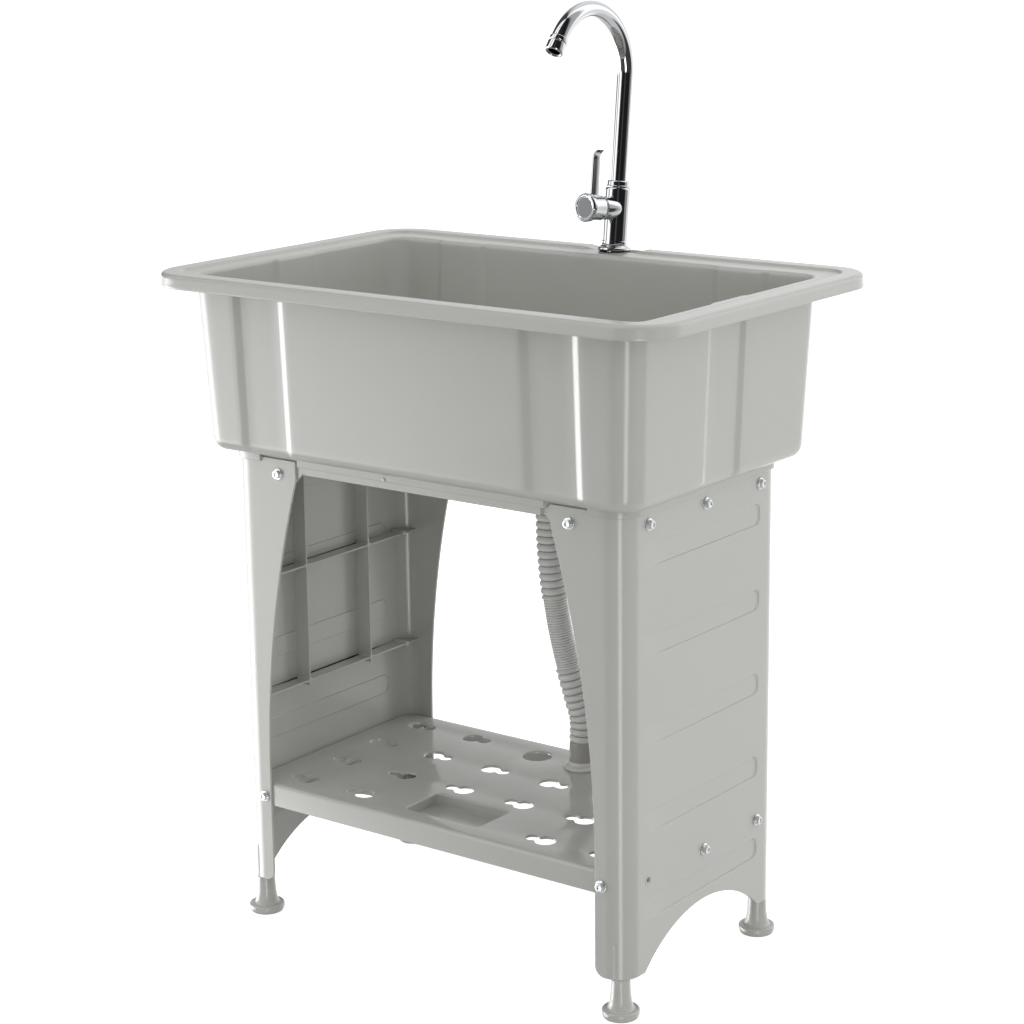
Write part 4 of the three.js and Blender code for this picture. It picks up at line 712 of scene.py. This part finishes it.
# The section is followed from the drain up the outside, over the rim and down the inside.
q = np.linspace(0, math.pi / 2, 9)
centre = np.array([0, DRAIN_Y, UNDERSIDE - FALL])
floor_low = wall_ring(UNDERSIDE, TUB_FILLET, 0)
rings = [centre + share * (floor_low - centre) for share in (0, 0.15, 0.35, 0.6, 0.85)]
for a in q:
    inset, rise = TUB_FILLET * (1 - math.sin(a)), TUB_FILLET * (1 - math.cos(a))
    rings.append(wall_ring(UNDERSIDE + rise, inset, FLUTE * math.sin(a)))
ledge, under_band, skirt_low = RIM_TOP - WALL - RIM_STEP, RIM_TOP - WALL, RIM_TOP - RIM_SKIRT
rings += [wall_ring(z, 0) for z in np.linspace(UNDERSIDE + 22, ledge - 6, 14)]
rings += [wall_ring(ledge - 3 * math.cos(a), -3 * (1 - math.cos(a))) for a in q[1::2]]
rings += [wall_ring(ledge, -3.5), wall_ring(ledge, -8, 0), rim_ring(ledge, RIM_BAND)]
rings += [rim_ring(under_band, RIM_BAND - 2), rim_ring(under_band, WALL + 3)]
for a in q[::2]:
    drop, inset = 2 * (1 - math.cos(a)), WALL + 3 * (1 - math.sin(a))
    rings.append(rim_ring(RIM_TOP - WALL - drop, inset, RIM_CORNER - WALL))
rings += [rim_ring(skirt_low + 0.8, 2.2, RIM_CORNER - 2), rim_ring(skirt_low, 1.6, RIM_CORNER - 1)]
rings += [rim_ring(skirt_low, 0.8), rim_ring(skirt_low + 0.3, 0.2), rim_ring(skirt_low + 0.9, 0)]
for share, z in ((0.2, skirt_low + 3), (0.6, skirt_low + 7), (0.95, RIM_TOP - RIM_ROUND - 0.5)):
    rings.append(rim_ring(z, 0.1 + 0.9 * share))
for a in q:
    drop, inset = RIM_ROUND * (1 - math.sin(a)), 1 + RIM_ROUND * (1 - math.cos(a))
    rings.append(rim_ring(RIM_TOP - drop, inset))
rings += [rim_ring(RIM_TOP, inset) for inset in (9, 15, 21)]
for share in np.linspace(0, 1, 7):
    drop = RIM_STEP * share * share * (3 - 2 * share)
    rings.append(rim_ring(RIM_TOP - drop, RIM_BAND - 3 + 3 * share))
rings.append(wall_ring(RIM_TOP - RIM_STEP, -4))
for a in q:
    drop, inset = LIP_ROUND * (1 - math.cos(a)), WALL - LIP_ROUND * (1 - math.sin(a))
    rings.append(wall_ring(RIM_TOP - RIM_STEP - drop, inset))
inner_top, inner = RIM_TOP - RIM_STEP - LIP_ROUND, TUB_FILLET - WALL
rings += [wall_ring(z, WALL) for z in np.linspace(inner_top - 8, UNDERSIDE + 26, 14)]
for a in q:
    inset, rise = inner * (1 - math.cos(a)), inner * (1 - math.sin(a))
    rings.append(wall_ring(UNDERSIDE + WALL + rise, WALL + inset, FLUTE * math.cos(a)))
floor_top, centre_top = rings[-1], centre + (0, 0, WALL)
rings += [centre_top + share * (floor_top - centre_top) for share in (0.85, 0.6, 0.35, 0.15, 0)]
tub_skin = np.array(rings)

# The rim is pressed flat for the tap: near it the top follows a plane that leans with the tap.
x, y, z = tub_skin[..., 0], tub_skin[..., 1], tub_skin[..., 2]
seat = TAP_SEAT - (y - TAP_Y) * math.tan(TAP_LEAN)
side = np.clip((PRESS_HALF - np.abs(x - TAP_X)) / PRESS_EDGE + 0.5, 0, 1)
along = np.clip((y - PRESS_FRONT) / 5, 0, 1) * np.clip((PRESS_BACK - y) / 3, 0, 1)
share = (side * side * (3 - 2 * side)) * along
upper = z > RIM_TOP - 4
under = (z <= RIM_TOP - WALL) & (z > RIM_TOP - 8) & (y > TUB_BACK + 5)
z = np.where(upper, z + share * (seat - z), np.where(under, z + share * (seat - 7 - z), z))
tub_skin = np.stack([x, y, z], -1)


APRON_TOP, APRON_LOW, APRON_BETWEEN, APRON_FLUSH = 579.0, 541.0, 558.0, 168.0
APRON_STEPS = np.array([165, 167.5, 168.5, 171.5, 174, 180, 186, 188.5, 230.9, 231.1])
LIP_LOW, TAB_LIP_LOW, LIP_STAND = 567.0, 574.2, 3.5


def apron_band():
    """The apron as a closed section carried round the stand's outline: between the panels its
    face is flush with them, behind them it is set back and reaches lower for the bolts, and its
    drip lip stands out over the panels except over the flanges' tabs."""
    corner_x, corner_y = SPAN - CORNER, DEPTH - CORNER
    spots = np.sort(np.concatenate([np.linspace(-250, 250, 51), -APRON_STEPS, APRON_STEPS]))
    across = np.linspace(-corner_y, corner_y, 21)
    t = np.linspace(0, math.pi / 2, 9)[1:-1]
    front = np.column_stack([spots, np.full(spots.size, -corner_y)])
    right = np.column_stack([np.full(across.size, corner_x), across])
    sides = [
        (front, (0, -1), (corner_x, -corner_y)), (right, (1, 0), (corner_x, corner_y)),
        (-front, (0, 1), (-corner_x, corner_y)), (-right, (-1, 0), (-corner_x, -corner_y))]
    base, out = [], []
    for k, (line, way, corner) in enumerate(sides):
        angle = t + (k - 1) * math.pi / 2
        base += [line, np.tile(corner, (t.size, 1))]
        out += [np.tile(way, (len(line), 1)), np.column_stack([np.cos(angle), np.sin(angle)])]
    base, out = np.concatenate(base), np.concatenate(out)
    along = np.abs(base[:, 0])
    flank = np.abs(out[:, 1]) > 0.5
    flush = flank & (along <= APRON_FLUSH)
    tab = flank & (along >= TAB_EDGE) & (along <= TAB_END)
    behind = CORNER - WALL - 0.3
    inner = behind - WALL
    face = np.where(flush, CORNER, behind)
    low = np.interp(along, [171.5, 188.5], [APRON_BETWEEN, APRON_LOW])
    low = np.where(flank, low, APRON_LOW)
    lip_face = np.where(tab, behind, CORNER + LIP_STAND)
    lip_low = np.where(tab & ~flush, TAB_LIP_LOW, LIP_LOW)
    section = [
        (inner, APRON_TOP), (inner, low + 0.5), (inner + 0.5, low), (face - 0.6, low),
        (face, low + 0.6), (face, lip_low), (lip_face - 0.7, lip_low + 0.1),
        (lip_face, lip_low + 0.8), (lip_face, APRON_TOP - 3.6), (lip_face - 1.0, APRON_TOP - 2.2),
        (lip_face - 1.6, APRON_TOP)]
    loops = []
    for reach, height in section:
        place = base + out * np.broadcast_to(reach, along.shape)[:, None]
        loops.append(np.column_stack([place, np.maximum(height, low)]))
    return np.array(loops), True, True


tub_skins = [(tub_skin, False, True)]
piece("tub_shell", tub_skins, "stand", grey_plastic, "tub", sharp=60)
gate_profile = softened([(0, -2), (2.8, -2), (2.6, 0.7, 0.4), (1.8, 1.3, 0.4), (0, 1.4)])
gate_mark = turned(gate_profile, 20, (-45, -DEPTH - LIP_STAND, 569.5), (0, -1, 0))
piece("tub_apron", [apron_band(), gate_mark], "stand", grey_plastic, sharp=30)

# ---- levelling feet -------------------------------------------------------------------------
# Four moulded plastic feet, shaped like a trumpet's bell with a hollow rim on the floor. Each
# has its stud in one with it and screws up into a panel's socket to level the stand.
foot_profile = softened([
    (0, 0.6), (15.5, 0.6, 0.4), (16.2, 0, 0.5), (19.6, 0, 1.6), (21.3, 5, 1.5), (21.3, 9.2, 1.3),
    (19.4, 10.6, 1.2), (16.6, 9.7, 0.8), (14.6, 11.2, 1.2), (12.9, 17, 3), (11.4, 27, 4),
    (10.7, 44, 0.6), (9.9, 46.2, 0.5), (5, 46.2), (5, 79, 0.8), (4, 80.2), (0, 80.2)], 6)
for row, y in (("front", -FOOT_Y), ("back", FOOT_Y)):
    for hand, x in (("left", -FOOT_X), ("right", FOOT_X)):
        foot = f"foot_{row}_{hand}"
        skin = turned(foot_profile, 48, (x, y, 0))
        piece(f"{foot}_turned", [skin], foot, grey_plastic, foot)

# ---- bolts ----------------------------------------------------------------------------------
# Zinc-plated hexagon screws with a pressed washer head hold tub, panels and shelf together.
# One place on the right panel has a moulded ring and an empty hole.
BOLT_TOP, BOLT_LOW, BOLT_SIDE = 554.5, SPARE_Z, -SPARE_Y
BOLT_TOP_X, BOLT_LOW_X = 205.5, 245.0
HEAD_APOTHEM, HEAD_HEIGHT = 4.5, 5.6


def bare_metal(name, colour, metallic, grain_size, detail, smooth, rough):
    """Metal of one colour whose roughness varies between two values with noise in metres."""
    material = bpy.data.materials.new(name)
    material.use_nodes = True
    nodes, links = material.node_tree.nodes, material.node_tree.links
    shader = nodes["Principled BSDF"]
    shader.inputs["Metallic"].default_value = metallic
    shader.inputs["Base Color"].default_value = (*colour, 1)
    place = nodes.new("ShaderNodeTexCoord")
    grain = nodes.new("ShaderNodeTexNoise")
    grain.inputs["Scale"].default_value = grain_size
    grain.inputs["Detail"].default_value = detail
    finish = nodes.new("ShaderNodeMapRange")
    finish.inputs["To Min"].default_value = smooth
    finish.inputs["To Max"].default_value = rough
    links.new(place.outputs["Object"], grain.inputs["Vector"])
    links.new(grain.outputs["Fac"], finish.inputs["Value"])
    links.new(finish.outputs["Result"], shader.inputs["Roughness"])
    return material


zinc = bare_metal("bright_zinc", (0.76, 0.78, 0.79), 0.7, 900, 2, 0.18, 0.34)


def hexagon(t, apothem):
    """A hexagon's radius at each angle: r = a / cos(t mod 60 - 30)."""
    return apothem / np.cos(t % (math.pi / 3) - math.pi / 6)


def hexagon_head(point, way, spin):
    """A hexagon head whose top, dished in the middle, falls away to its corners by
    0.55 max(r - 0.95 a, 0), and the washer below it."""
    t = np.linspace(0, 2 * math.pi, 48, endpoint=False) + spin
    flats = hexagon(t - spin, HEAD_APOTHEM)
    shares, drops = np.array([0, 0.45, 0.62, 0.72, 0.92, 1.0]), np.array([0.7, 0.7, 0.35, 0, 0, 0])
    r = np.concatenate([np.outer(shares, flats), flats[None]])
    fall = drops[:, None] + 0.55 * np.maximum(r[:6] - 0.95 * HEAD_APOTHEM, 0)
    h = HEAD_HEIGHT - np.concatenate([fall, np.full((1, 48), HEAD_HEIGHT - 1)])
    local = np.stack([r * np.cos(t), r * np.sin(t), h], -1)
    turn = np.array(Vector(way).to_track_quat("Z", "Y").to_matrix())
    washer = softened([
        (0, -10), (2.4, -10), (2.4, 0.3), (7.0, 0.3, 0.4), (7.1, 1.2, 0.5), (5.6, 1.95, 0.5),
        (3, 2), (0, 2)])
    return [(local @ turn.T + point, False, True), turned(washer, 32, point, way)]


for hand, x in (("left", -1), ("right", 1)):
    for level_name, z, flange_x in (("top", BOLT_TOP, BOLT_TOP_X), ("low", BOLT_LOW, BOLT_LOW_X)):
        heads = {}
        for row, y in (("front", -1), ("middle", 0), ("back", 1)):
            place, spin = (x * SPAN, y * BOLT_SIDE, z), 0.4 * y + 0.7 * x + z
            heads[f"bolt_side_{hand}_{level_name}_{row}"] = hexagon_head(place, (x, 0, 0), spin)
        for row, y in (("front", -1), ("back", 1)):
            place, spin = (x * flange_x, y * DEPTH, z), 0.9 * x + 0.3 * y + z
            heads[f"bolt_{row}_{hand}_{level_name}"] = hexagon_head(place, (0, y, 0), spin)
        for bolt, head in heads.items():
            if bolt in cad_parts:
                piece(f"{bolt}_head", head, "stand", zinc, bolt)

# ---- waste and hose -------------------------------------------------------------------------
# A pressed steel strainer with a plastic nut holds the hose's collar. The hose is a soft
# ribbed tube, its ribs drawn together in the middle, and its cuff stands in the shelf's hole.
# The hose plastic's colour is multiplied down where the mesh's pointiness is low, so it is darkest
# in hollows: painted shade in the grooves between the ribs, and in the hollows of the nut and the
# flange ring made of the same material.
hose_plastic = satin_plastic("hose_plastic", (0.80, 0.795, 0.785), 0.24, 0.34)
nodes, links = hose_plastic.node_tree.nodes, hose_plastic.node_tree.links
shape = nodes.new("ShaderNodeNewGeometry")
# Painted shade: pointiness from 0.42 to 0.5 becomes a colour factor from 0.35 to 1, which darkens
# the hollows.
painted_groove_shade = nodes.new("ShaderNodeMapRange")
painted_groove_shade.inputs["From Min"].default_value = 0.42
painted_groove_shade.inputs["From Max"].default_value = 0.5
painted_groove_shade.inputs["To Min"].default_value = 0.35
painted_shade_darkening = nodes.new("ShaderNodeMix")
painted_shade_darkening.data_type = "RGBA"
painted_shade_darkening.blend_type = "MULTIPLY"
painted_shade_darkening.inputs["Factor"].default_value = 1
shader = nodes["Principled BSDF"]
links.new(shape.outputs["Pointiness"], painted_groove_shade.inputs["Value"])
links.new(shader.inputs["Base Color"].links[0].from_socket, painted_shade_darkening.inputs["A"])
links.new(painted_groove_shade.outputs["Result"], painted_shade_darkening.inputs["B"])
links.new(painted_shade_darkening.outputs["Result"], shader.inputs["Base Color"])
steel = bare_metal("pressed_steel", (0.62, 0.63, 0.64), 0.7, 900, 2, 0.18, 0.34)
rubber = satin_plastic("black_rubber", (0.03, 0.03, 0.03), 0.6, 0.75)
HOSE_RADIUS, HOSE_BORE, HOSE_TOP = 16.5, 12.0, 515.0
WIDE_PITCH, TIGHT_PITCH, WIDE_DEPTH, TIGHT_DEPTH, TIGHT_INSET = 9.0, 3.2, 4.0, 1.5, 1.8
TIGHT_FROM, TIGHT_TO = 0.41, 0.70


def spun(skin, angle, place):
    """A skin turned about the upright axis and put in its place."""
    points, wrap_rows, wrap_columns = skin
    c, s = math.cos(angle), math.sin(angle)
    turned_points = points @ np.array([(c, s, 0), (-s, c, 0), (0, 0, 1)])
    return turned_points + place, wrap_rows, wrap_columns


drain = (0, DRAIN_Y, 0)
seat_z = UNDERSIDE - FALL + WALL + 1.9
neck_low = UNDERSIDE - 46.0
strainer = softened([
    (15, neck_low), (19, neck_low, 0.5), (19, seat_z + 0.3, 0.4), (31.8, seat_z + 0.3, 0.4),
    (32, seat_z + 1.6, 0.6), (30, seat_z + 2.6, 1.2), (19, seat_z + 1.2, 3),
    (15.4, seat_z - 4, 2), (15, neck_low)])
bar = slab(-16, 16, -1.2, 1.2, -1.2, 1.2)
cross = [spun(bar, k * math.pi / 3, (0, DRAIN_Y, seat_z - 6)) for k in range(3)]
piece("waste_pressing", [turned(strainer, 64, drain), *cross], "stand", steel, "waste")
gasket_top = UNDERSIDE - FALL - 0.3
gasket_low = gasket_top - 2.8
gasket = softened([
    (19.3, gasket_low), (27, gasket_low, 0.6), (27, gasket_top, 0.6), (19.3, gasket_top),
    (19.3, gasket_low)])
gasket_skin = turned(gasket, 48, drain)
piece("waste_gasket_ring", [gasket_skin], "stand", rubber, "waste_gasket")
nut_top = UNDERSIDE - FALL - 3.4
nut_low = nut_top - 12
nut = softened([
    (19.3, nut_low), (25, nut_low, 0.8), (26, nut_top - 10.5, 0.8), (26, nut_top - 3, 0.8),
    (29, nut_top - 2.5, 0.6), (29, nut_top, 0.5), (19.3, nut_top), (19.3, nut_low)])
wing = slab(24.5, 29.3, -1.5, 1.5, nut_top - 11, nut_top - 3)
nut_skins = [turned(nut, 64, drain), *(spun(wing, k * math.pi / 2, drain) for k in range(4))]
piece("waste_nut_ring", nut_skins, "stand", hose_plastic, "waste_nut")
collar_low = HOSE_TOP + 0.3
collar = softened([
    (12, collar_low), (16.5, collar_low, 0.5), (22, neck_low - 3.3, 2), (22, neck_low + 10, 1),
    (19.3, neck_low + 10, 0.6), (19.3, neck_low - 0.3), (12, neck_low - 0.3), (12, collar_low)])
upper_cuff = piece(
    "hose_collar_cuff", [turned(collar, 56, drain)], "stand", hose_plastic,
    "hose_collar")


def hose_line(lengths):
    """The hose's middle line at the given lengths along it, and its whole length: a cubic through
    its chosen points, each coordinate a Hermite spline over the points' summed distances."""
    points = np.array([
        (0, 90, 515), (0, 90, 480), (1, 90.5, 440), (4, 92, 400), (10, 95, 350), (19, 100, 300),
        (29, 105.5, 255), (34, 108, 234), (34, 108, 204)], float)
    knots = np.concatenate([[0], np.cumsum(np.linalg.norm(np.diff(points, axis=0), axis=1))])
    slope = np.gradient(points, knots, axis=0)
    slope[0], slope[-1] = (0, 0, -1), (0, 0, -1)
    dense = np.linspace(0, knots[-1], 2000)
    k = np.clip(np.searchsorted(knots, dense, side="right") - 1, 0, len(points) - 2)
    span = (knots[k + 1] - knots[k])[:, None]
    u = (dense[:, None] - knots[k][:, None]) / span
    line = (2 * u**3 - 3 * u**2 + 1) * points[k] + (u**3 - 2 * u**2 + u) * span * slope[k]
    line += (3 * u**2 - 2 * u**3) * points[k + 1] + (u**3 - u**2) * span * slope[k + 1]
    run = np.concatenate([[0], np.cumsum(np.linalg.norm(np.diff(line, axis=0), axis=1))])
    return np.stack([np.interp(lengths, run, line[:, c]) for c in range(3)], -1), run[-1]


def tube_skin(path, radii, sides):
    """A tube's skin: path + r (n cos t + b sin t), with n kept square to the path and level."""
    along = np.gradient(path, axis=0)
    along /= np.linalg.norm(along, axis=1)[:, None]
    n = np.cross(along, np.cross((1.0, 0, 0), along))
    n /= np.linalg.norm(n, axis=1)[:, None]
    b = np.cross(along, n)
    t = np.linspace(0, 2 * math.pi, sides, endpoint=False)
    ways = np.cos(t)[:, None] * n[:, None] + np.sin(t)[:, None] * b[:, None]
    return path[:, None] + radii[:, None, None] * ways


hose_length = hose_line([0.0])[1]
ribs, along = [], 6.0
while along < hose_length - 6:
    ribs.append(along)
    along += TIGHT_PITCH if TIGHT_FROM < along / hose_length < TIGHT_TO else WIDE_PITCH
ribs = np.array(ribs)
pitch = np.append(np.diff(ribs), WIDE_PITCH)
wide = np.repeat(pitch > 4, 12)
phase = np.linspace(0, 1, 13)[:-1]
stations = (ribs[:, None] + pitch[:, None] * phase).ravel()
crest = np.where(wide, HOSE_RADIUS, HOSE_RADIUS - TIGHT_INSET)
depth = np.where(wide, WIDE_DEPTH, TIGHT_DEPTH)
off_crest = 2 * np.tile(np.minimum(phase, 1 - phase), len(ribs))
radii = crest - depth * (1 - (1 - off_crest**2) ** 0.7)
inside = stations < hose_length
end_radius = HOSE_RADIUS - 2.2
stations = np.concatenate([[0, 5], stations[inside], [hose_length]])
radii = np.concatenate([[end_radius, end_radius + 0.2], radii[inside], [end_radius]])
path, _ = hose_line(stations)
outer = tube_skin(path, radii, 40)
bore = tube_skin(path, np.full(len(path), HOSE_BORE), 40)[::-1]
hose_skin = (np.concatenate([outer, bore]), True, True)
hose = piece("hose_ribbed", [hose_skin], "stand", hose_plastic, "hose", sharp=60)
cuff = softened([
    (12, 146), (15.3, 146, 0.6), (15.9, 149, 0.8), (15.9, 199.7, 1.0), (15.1, 203.7, 0.8),
    (12, 203.7), (12, 146)])
cuff_plastic = satin_plastic("cuff_plastic", (0.44, 0.425, 0.40), 0.3, 0.42)
pipe = (PIPE_X, PIPE_Y, 0)
cuff_skin = turned(cuff, 56, pipe)
lower_cuff = piece(
    "hose_cuff_smooth", [cuff_skin], "stand", cuff_plastic, "hose_cuff")
flange = softened([
    (16.2, 162), (18.2, 162, 0.5), (18.2, 170.3, 0.2), (23, 170.3, 0.4), (23, 172.3, 0.7),
    (21.5, 173.8, 0.9), (18.1, 174.8, 1.5), (17.1, 179.3, 0.6), (16.2, 179.3), (16.2, 162)])
flange_skin = turned(flange, 56, pipe)
piece("shelf_flange_ring", [flange_skin], "stand", hose_plastic, "shelf_flange")

# ---- tap ------------------------------------------------------------------------------------
# A chromed brass tap: flanged base, body with a side branch, a ringed cap with a flat lever,
# and a bent gooseneck tube with an aerator. It leans back with its seat on the rim.
chrome = bare_metal("polished_chrome", (0.6, 0.61, 0.62), 1, 60, 4, 0.02, 0.07)
brass = bare_metal("turned_brass", (0.62, 0.46, 0.20), 0.7, 900, 2, 0.18, 0.34)

VALVE_TURN, VALVE_HEIGHT, VALVE_REACH = math.radians(8), 51.0, 30.0
TUBE_RADIUS, TUBE_BORE, TAP_HOLE = 9.79, 8.6, 10.3
lean_cos, lean_sin = math.cos(TAP_LEAN), math.sin(TAP_LEAN)
lean = np.array([(1, 0, 0), (0, lean_cos, lean_sin), (0, -lean_sin, lean_cos)])


def on_seat(skin):
    """A skin in the tap's frame (seat at 0, z up the body) turned back by its lean and placed."""
    points, wrap_rows, wrap_columns = skin
    return points @ lean.T + (TAP_X, TAP_Y, TAP_SEAT), wrap_rows, wrap_columns


turn_cos, turn_sin = math.cos(VALVE_TURN), math.sin(VALVE_TURN)
turn_back = np.array([(turn_cos, turn_sin, 0), (-turn_sin, turn_cos, 0), (0, 0, 1)])


def on_branch(skin):
    """A skin in the valve's frame (z out of the branch, y up) placed on the turned branch."""
    points, wrap_rows, wrap_columns = skin
    x, y, z = points[..., 0], points[..., 1], points[..., 2]
    flat = np.stack([x, -z - VALVE_REACH, y + VALVE_HEIGHT], -1)
    return on_seat((flat @ turn_back.T, wrap_rows, wrap_columns))


def closed(corners):
    """A softened profile that comes back to its first corner."""
    return softened([*corners, corners[0]])


def tap_piece(name, skins, body, material):
    """A piece of the tap that stands for the node of the same name without its last word."""
    return piece(name, skins, body, material, name.rsplit("_", 1)[0])


gasket = closed([(TAP_HOLE, 0.3), (19, 0.3, 0.3), (19, 1.2, 0.3), (TAP_HOLE, 1.2)])
tap_piece("tap_gasket_ring", [on_seat(turned(gasket, 56))], "stand", rubber)
base = closed([
    (TAP_HOLE, 1.5), (20, 1.5, 0.3), (20, 3.6, 0.7), (18.6, 4.9, 0.7), (17.4, 5.4, 0.8),
    (16.2, 7, 0.5), (TAP_HOLE, 7)])
tap_piece("tap_base_turned", [on_seat(turned(base, 72))], "stand", chrome)
body = softened([
    (0, 7.3), (15.6, 7.3, 0.4), (15.6, 12, 0.3), (15.2, 12.5, 0.3), (15.2, 74, 0.8),
    (13.8, 76, 0.6), (9.5, 76), (9.5, 64), (0, 64)])
branch_low, branch_seat = -VALVE_REACH, -6
branch = softened([
    (0, branch_low), (13.8, branch_low, 0.2), (13.8, -1.6, 0.2), (13.2, -1.2, 0.2), (13.2, 0, 0.4),
    (6.5, 0), (6.5, branch_seat), (0, branch_seat)])
shank = softened([(0, -48), (9.4, -48, 0.5), (10, -47, 0.4), (10, 9), (0, 9)])
body_skins = [on_seat(turned(body, 72)), on_branch(turned(branch, 64)), on_seat(turned(shank, 48))]
tap_piece("tap_body_cast", body_skins, "stand", chrome)
collar = closed([
    (TAP_HOLE, 76.3), (14.4, 76.3, 0.3), (14.4, 77.8, 0.4), (13.4, 78.4, 0.3), (13.4, 82.8, 0.6),
    (12.3, 84, 0.5), (TAP_HOLE, 84)])
tap_piece("tap_collar_ring", [on_seat(turned(collar, 64))], "stand", chrome)
washer = closed([(TAP_HOLE, -9.5), (19, -9.5, 0.4), (19, -7.3, 0.4), (TAP_HOLE, -7.3)])
tap_piece("tap_washer_ring", [on_seat(turned(washer, 48))], "stand", rubber)


def hexagon_nut():
    """A back nut with six flats under a round flange, bored for the shank."""
    t = np.linspace(0, 2 * math.pi, 48, endpoint=False)
    flats = hexagon(t, 16.4)
    hole = np.full(48, TAP_HOLE)
    rows = [
        (hole, -19.8), (flats - 1, -19.8), (flats, -19), (flats, -13.8), (20.4 + 0 * t, -13.2),
        (21 + 0 * t, -12.6), (21 + 0 * t, -10.2), (20.6 + 0 * t, -9.8), (hole, -9.8)]
    skin = [np.column_stack([r * np.cos(t), r * np.sin(t), np.full(48, h)]) for r, h in rows]
    return np.array(skin), True, True


tap_piece("tap_nut_hex", [on_seat(hexagon_nut())], "stand", brass)

SPRING, BEND, SWEEP = 206.0, 74.0, math.radians(150)
rise = np.linspace(76.3, SPRING, 24)[:-1]
sweep = np.linspace(0, SWEEP, 60)
neck = np.concatenate([
    np.column_stack([0 * rise, 0 * rise, rise]),
    np.column_stack([0 * sweep, -BEND * (1 - np.cos(sweep)), SPRING + BEND * np.sin(sweep)])])
neck_out = tube_skin(neck, np.full(len(neck), TUBE_RADIUS), 48)
neck_in = tube_skin(neck, np.full(len(neck), TUBE_BORE), 48)
tube = np.concatenate([neck_out, neck_in[::-1]])
piece("spout_tube", [on_seat((tube, True, True))], "spout", chrome, "spout")
end = neck[-1]
direction = np.array([0, -math.sin(SWEEP), math.cos(SWEEP)])
mouth = closed([
    (7.4, 0.3), (10.6, 0.3, 0.3), (11, 1, 0.3), (11, 5.4, 0.4), (10.3, 6, 0.2), (10.3, 7, 0.2),
    (11, 7.6, 0.4), (11, 18, 0.5), (10.2, 19, 0.4), (8.6, 19, 0.3), (8.4, 17.5, 0.3), (7.4, 17.2)])
mouth_skin = on_seat(turned(mouth, 72, end, direction))
piece("aerator_ring", [mouth_skin], "spout", chrome, "aerator")

spindle = softened([(0, -5.7), (5.8, -5.7, 0.4), (6, -1, 0.3), (5, 0), (5, 11.3, 0.4), (0, 11.5)])
piece("valve_spindle", [on_branch(turned(spindle, 32))], "handle", brass, "spindle")
cap = softened([
    (0, 11.8), (5.3, 11.8), (5.3, 2.5, 0.3), (14.5, 2.5, 0.6), (15.5, 3.5, 0.5), (15.5, 19.5, 0.4),
    (16.9, 20.4, 0.5), (17, 25.8, 0.9), (15.5, 27.5, 0.8), (13.2, 27.4, 0.5), (12.4, 26.5, 0.4),
    (0, 26.7)], 5)
piece("valve_cap_turned", [on_branch(turned(cap, 72))], "handle", chrome, "valve_cap")


def lever_blade():
    """A flat blade: over its length s from 0 to 1 its middle line runs up and hooks sideways at
    the tip, and its section is a tapering rounded rectangle, x and z as sign(c) |c|^0.35."""
    s = np.linspace(0, 1, 30)
    height = 12.3 + 56 * s
    hook = 6.0 * np.clip((s - 0.84) / 0.16, 0, 1) ** 2
    wide = 6.2 * (1 - 0.08 * s)
    thick = 2.0 * (1 - 0.25 * s)
    t = np.linspace(0, 2 * math.pi, 24, endpoint=False)
    c, d = np.cos(t), np.sin(t)
    box_x = np.sign(c) * np.abs(c) ** 0.35
    box_z = np.sign(d) * np.abs(d) ** 0.35
    points = np.stack([
        hook[:, None] + thick[:, None] * box_x,
        np.repeat(height[:, None], 24, 1),
        11.5 + wide[:, None] * box_z], -1)
    ends = points[[0, -1]].mean(1, keepdims=True).repeat(24, 1)
    return np.concatenate([ends[:1], points, ends[1:]]), False, True


piece("lever_blade", [on_branch(lever_blade())], "handle", chrome, "lever", sharp=50)
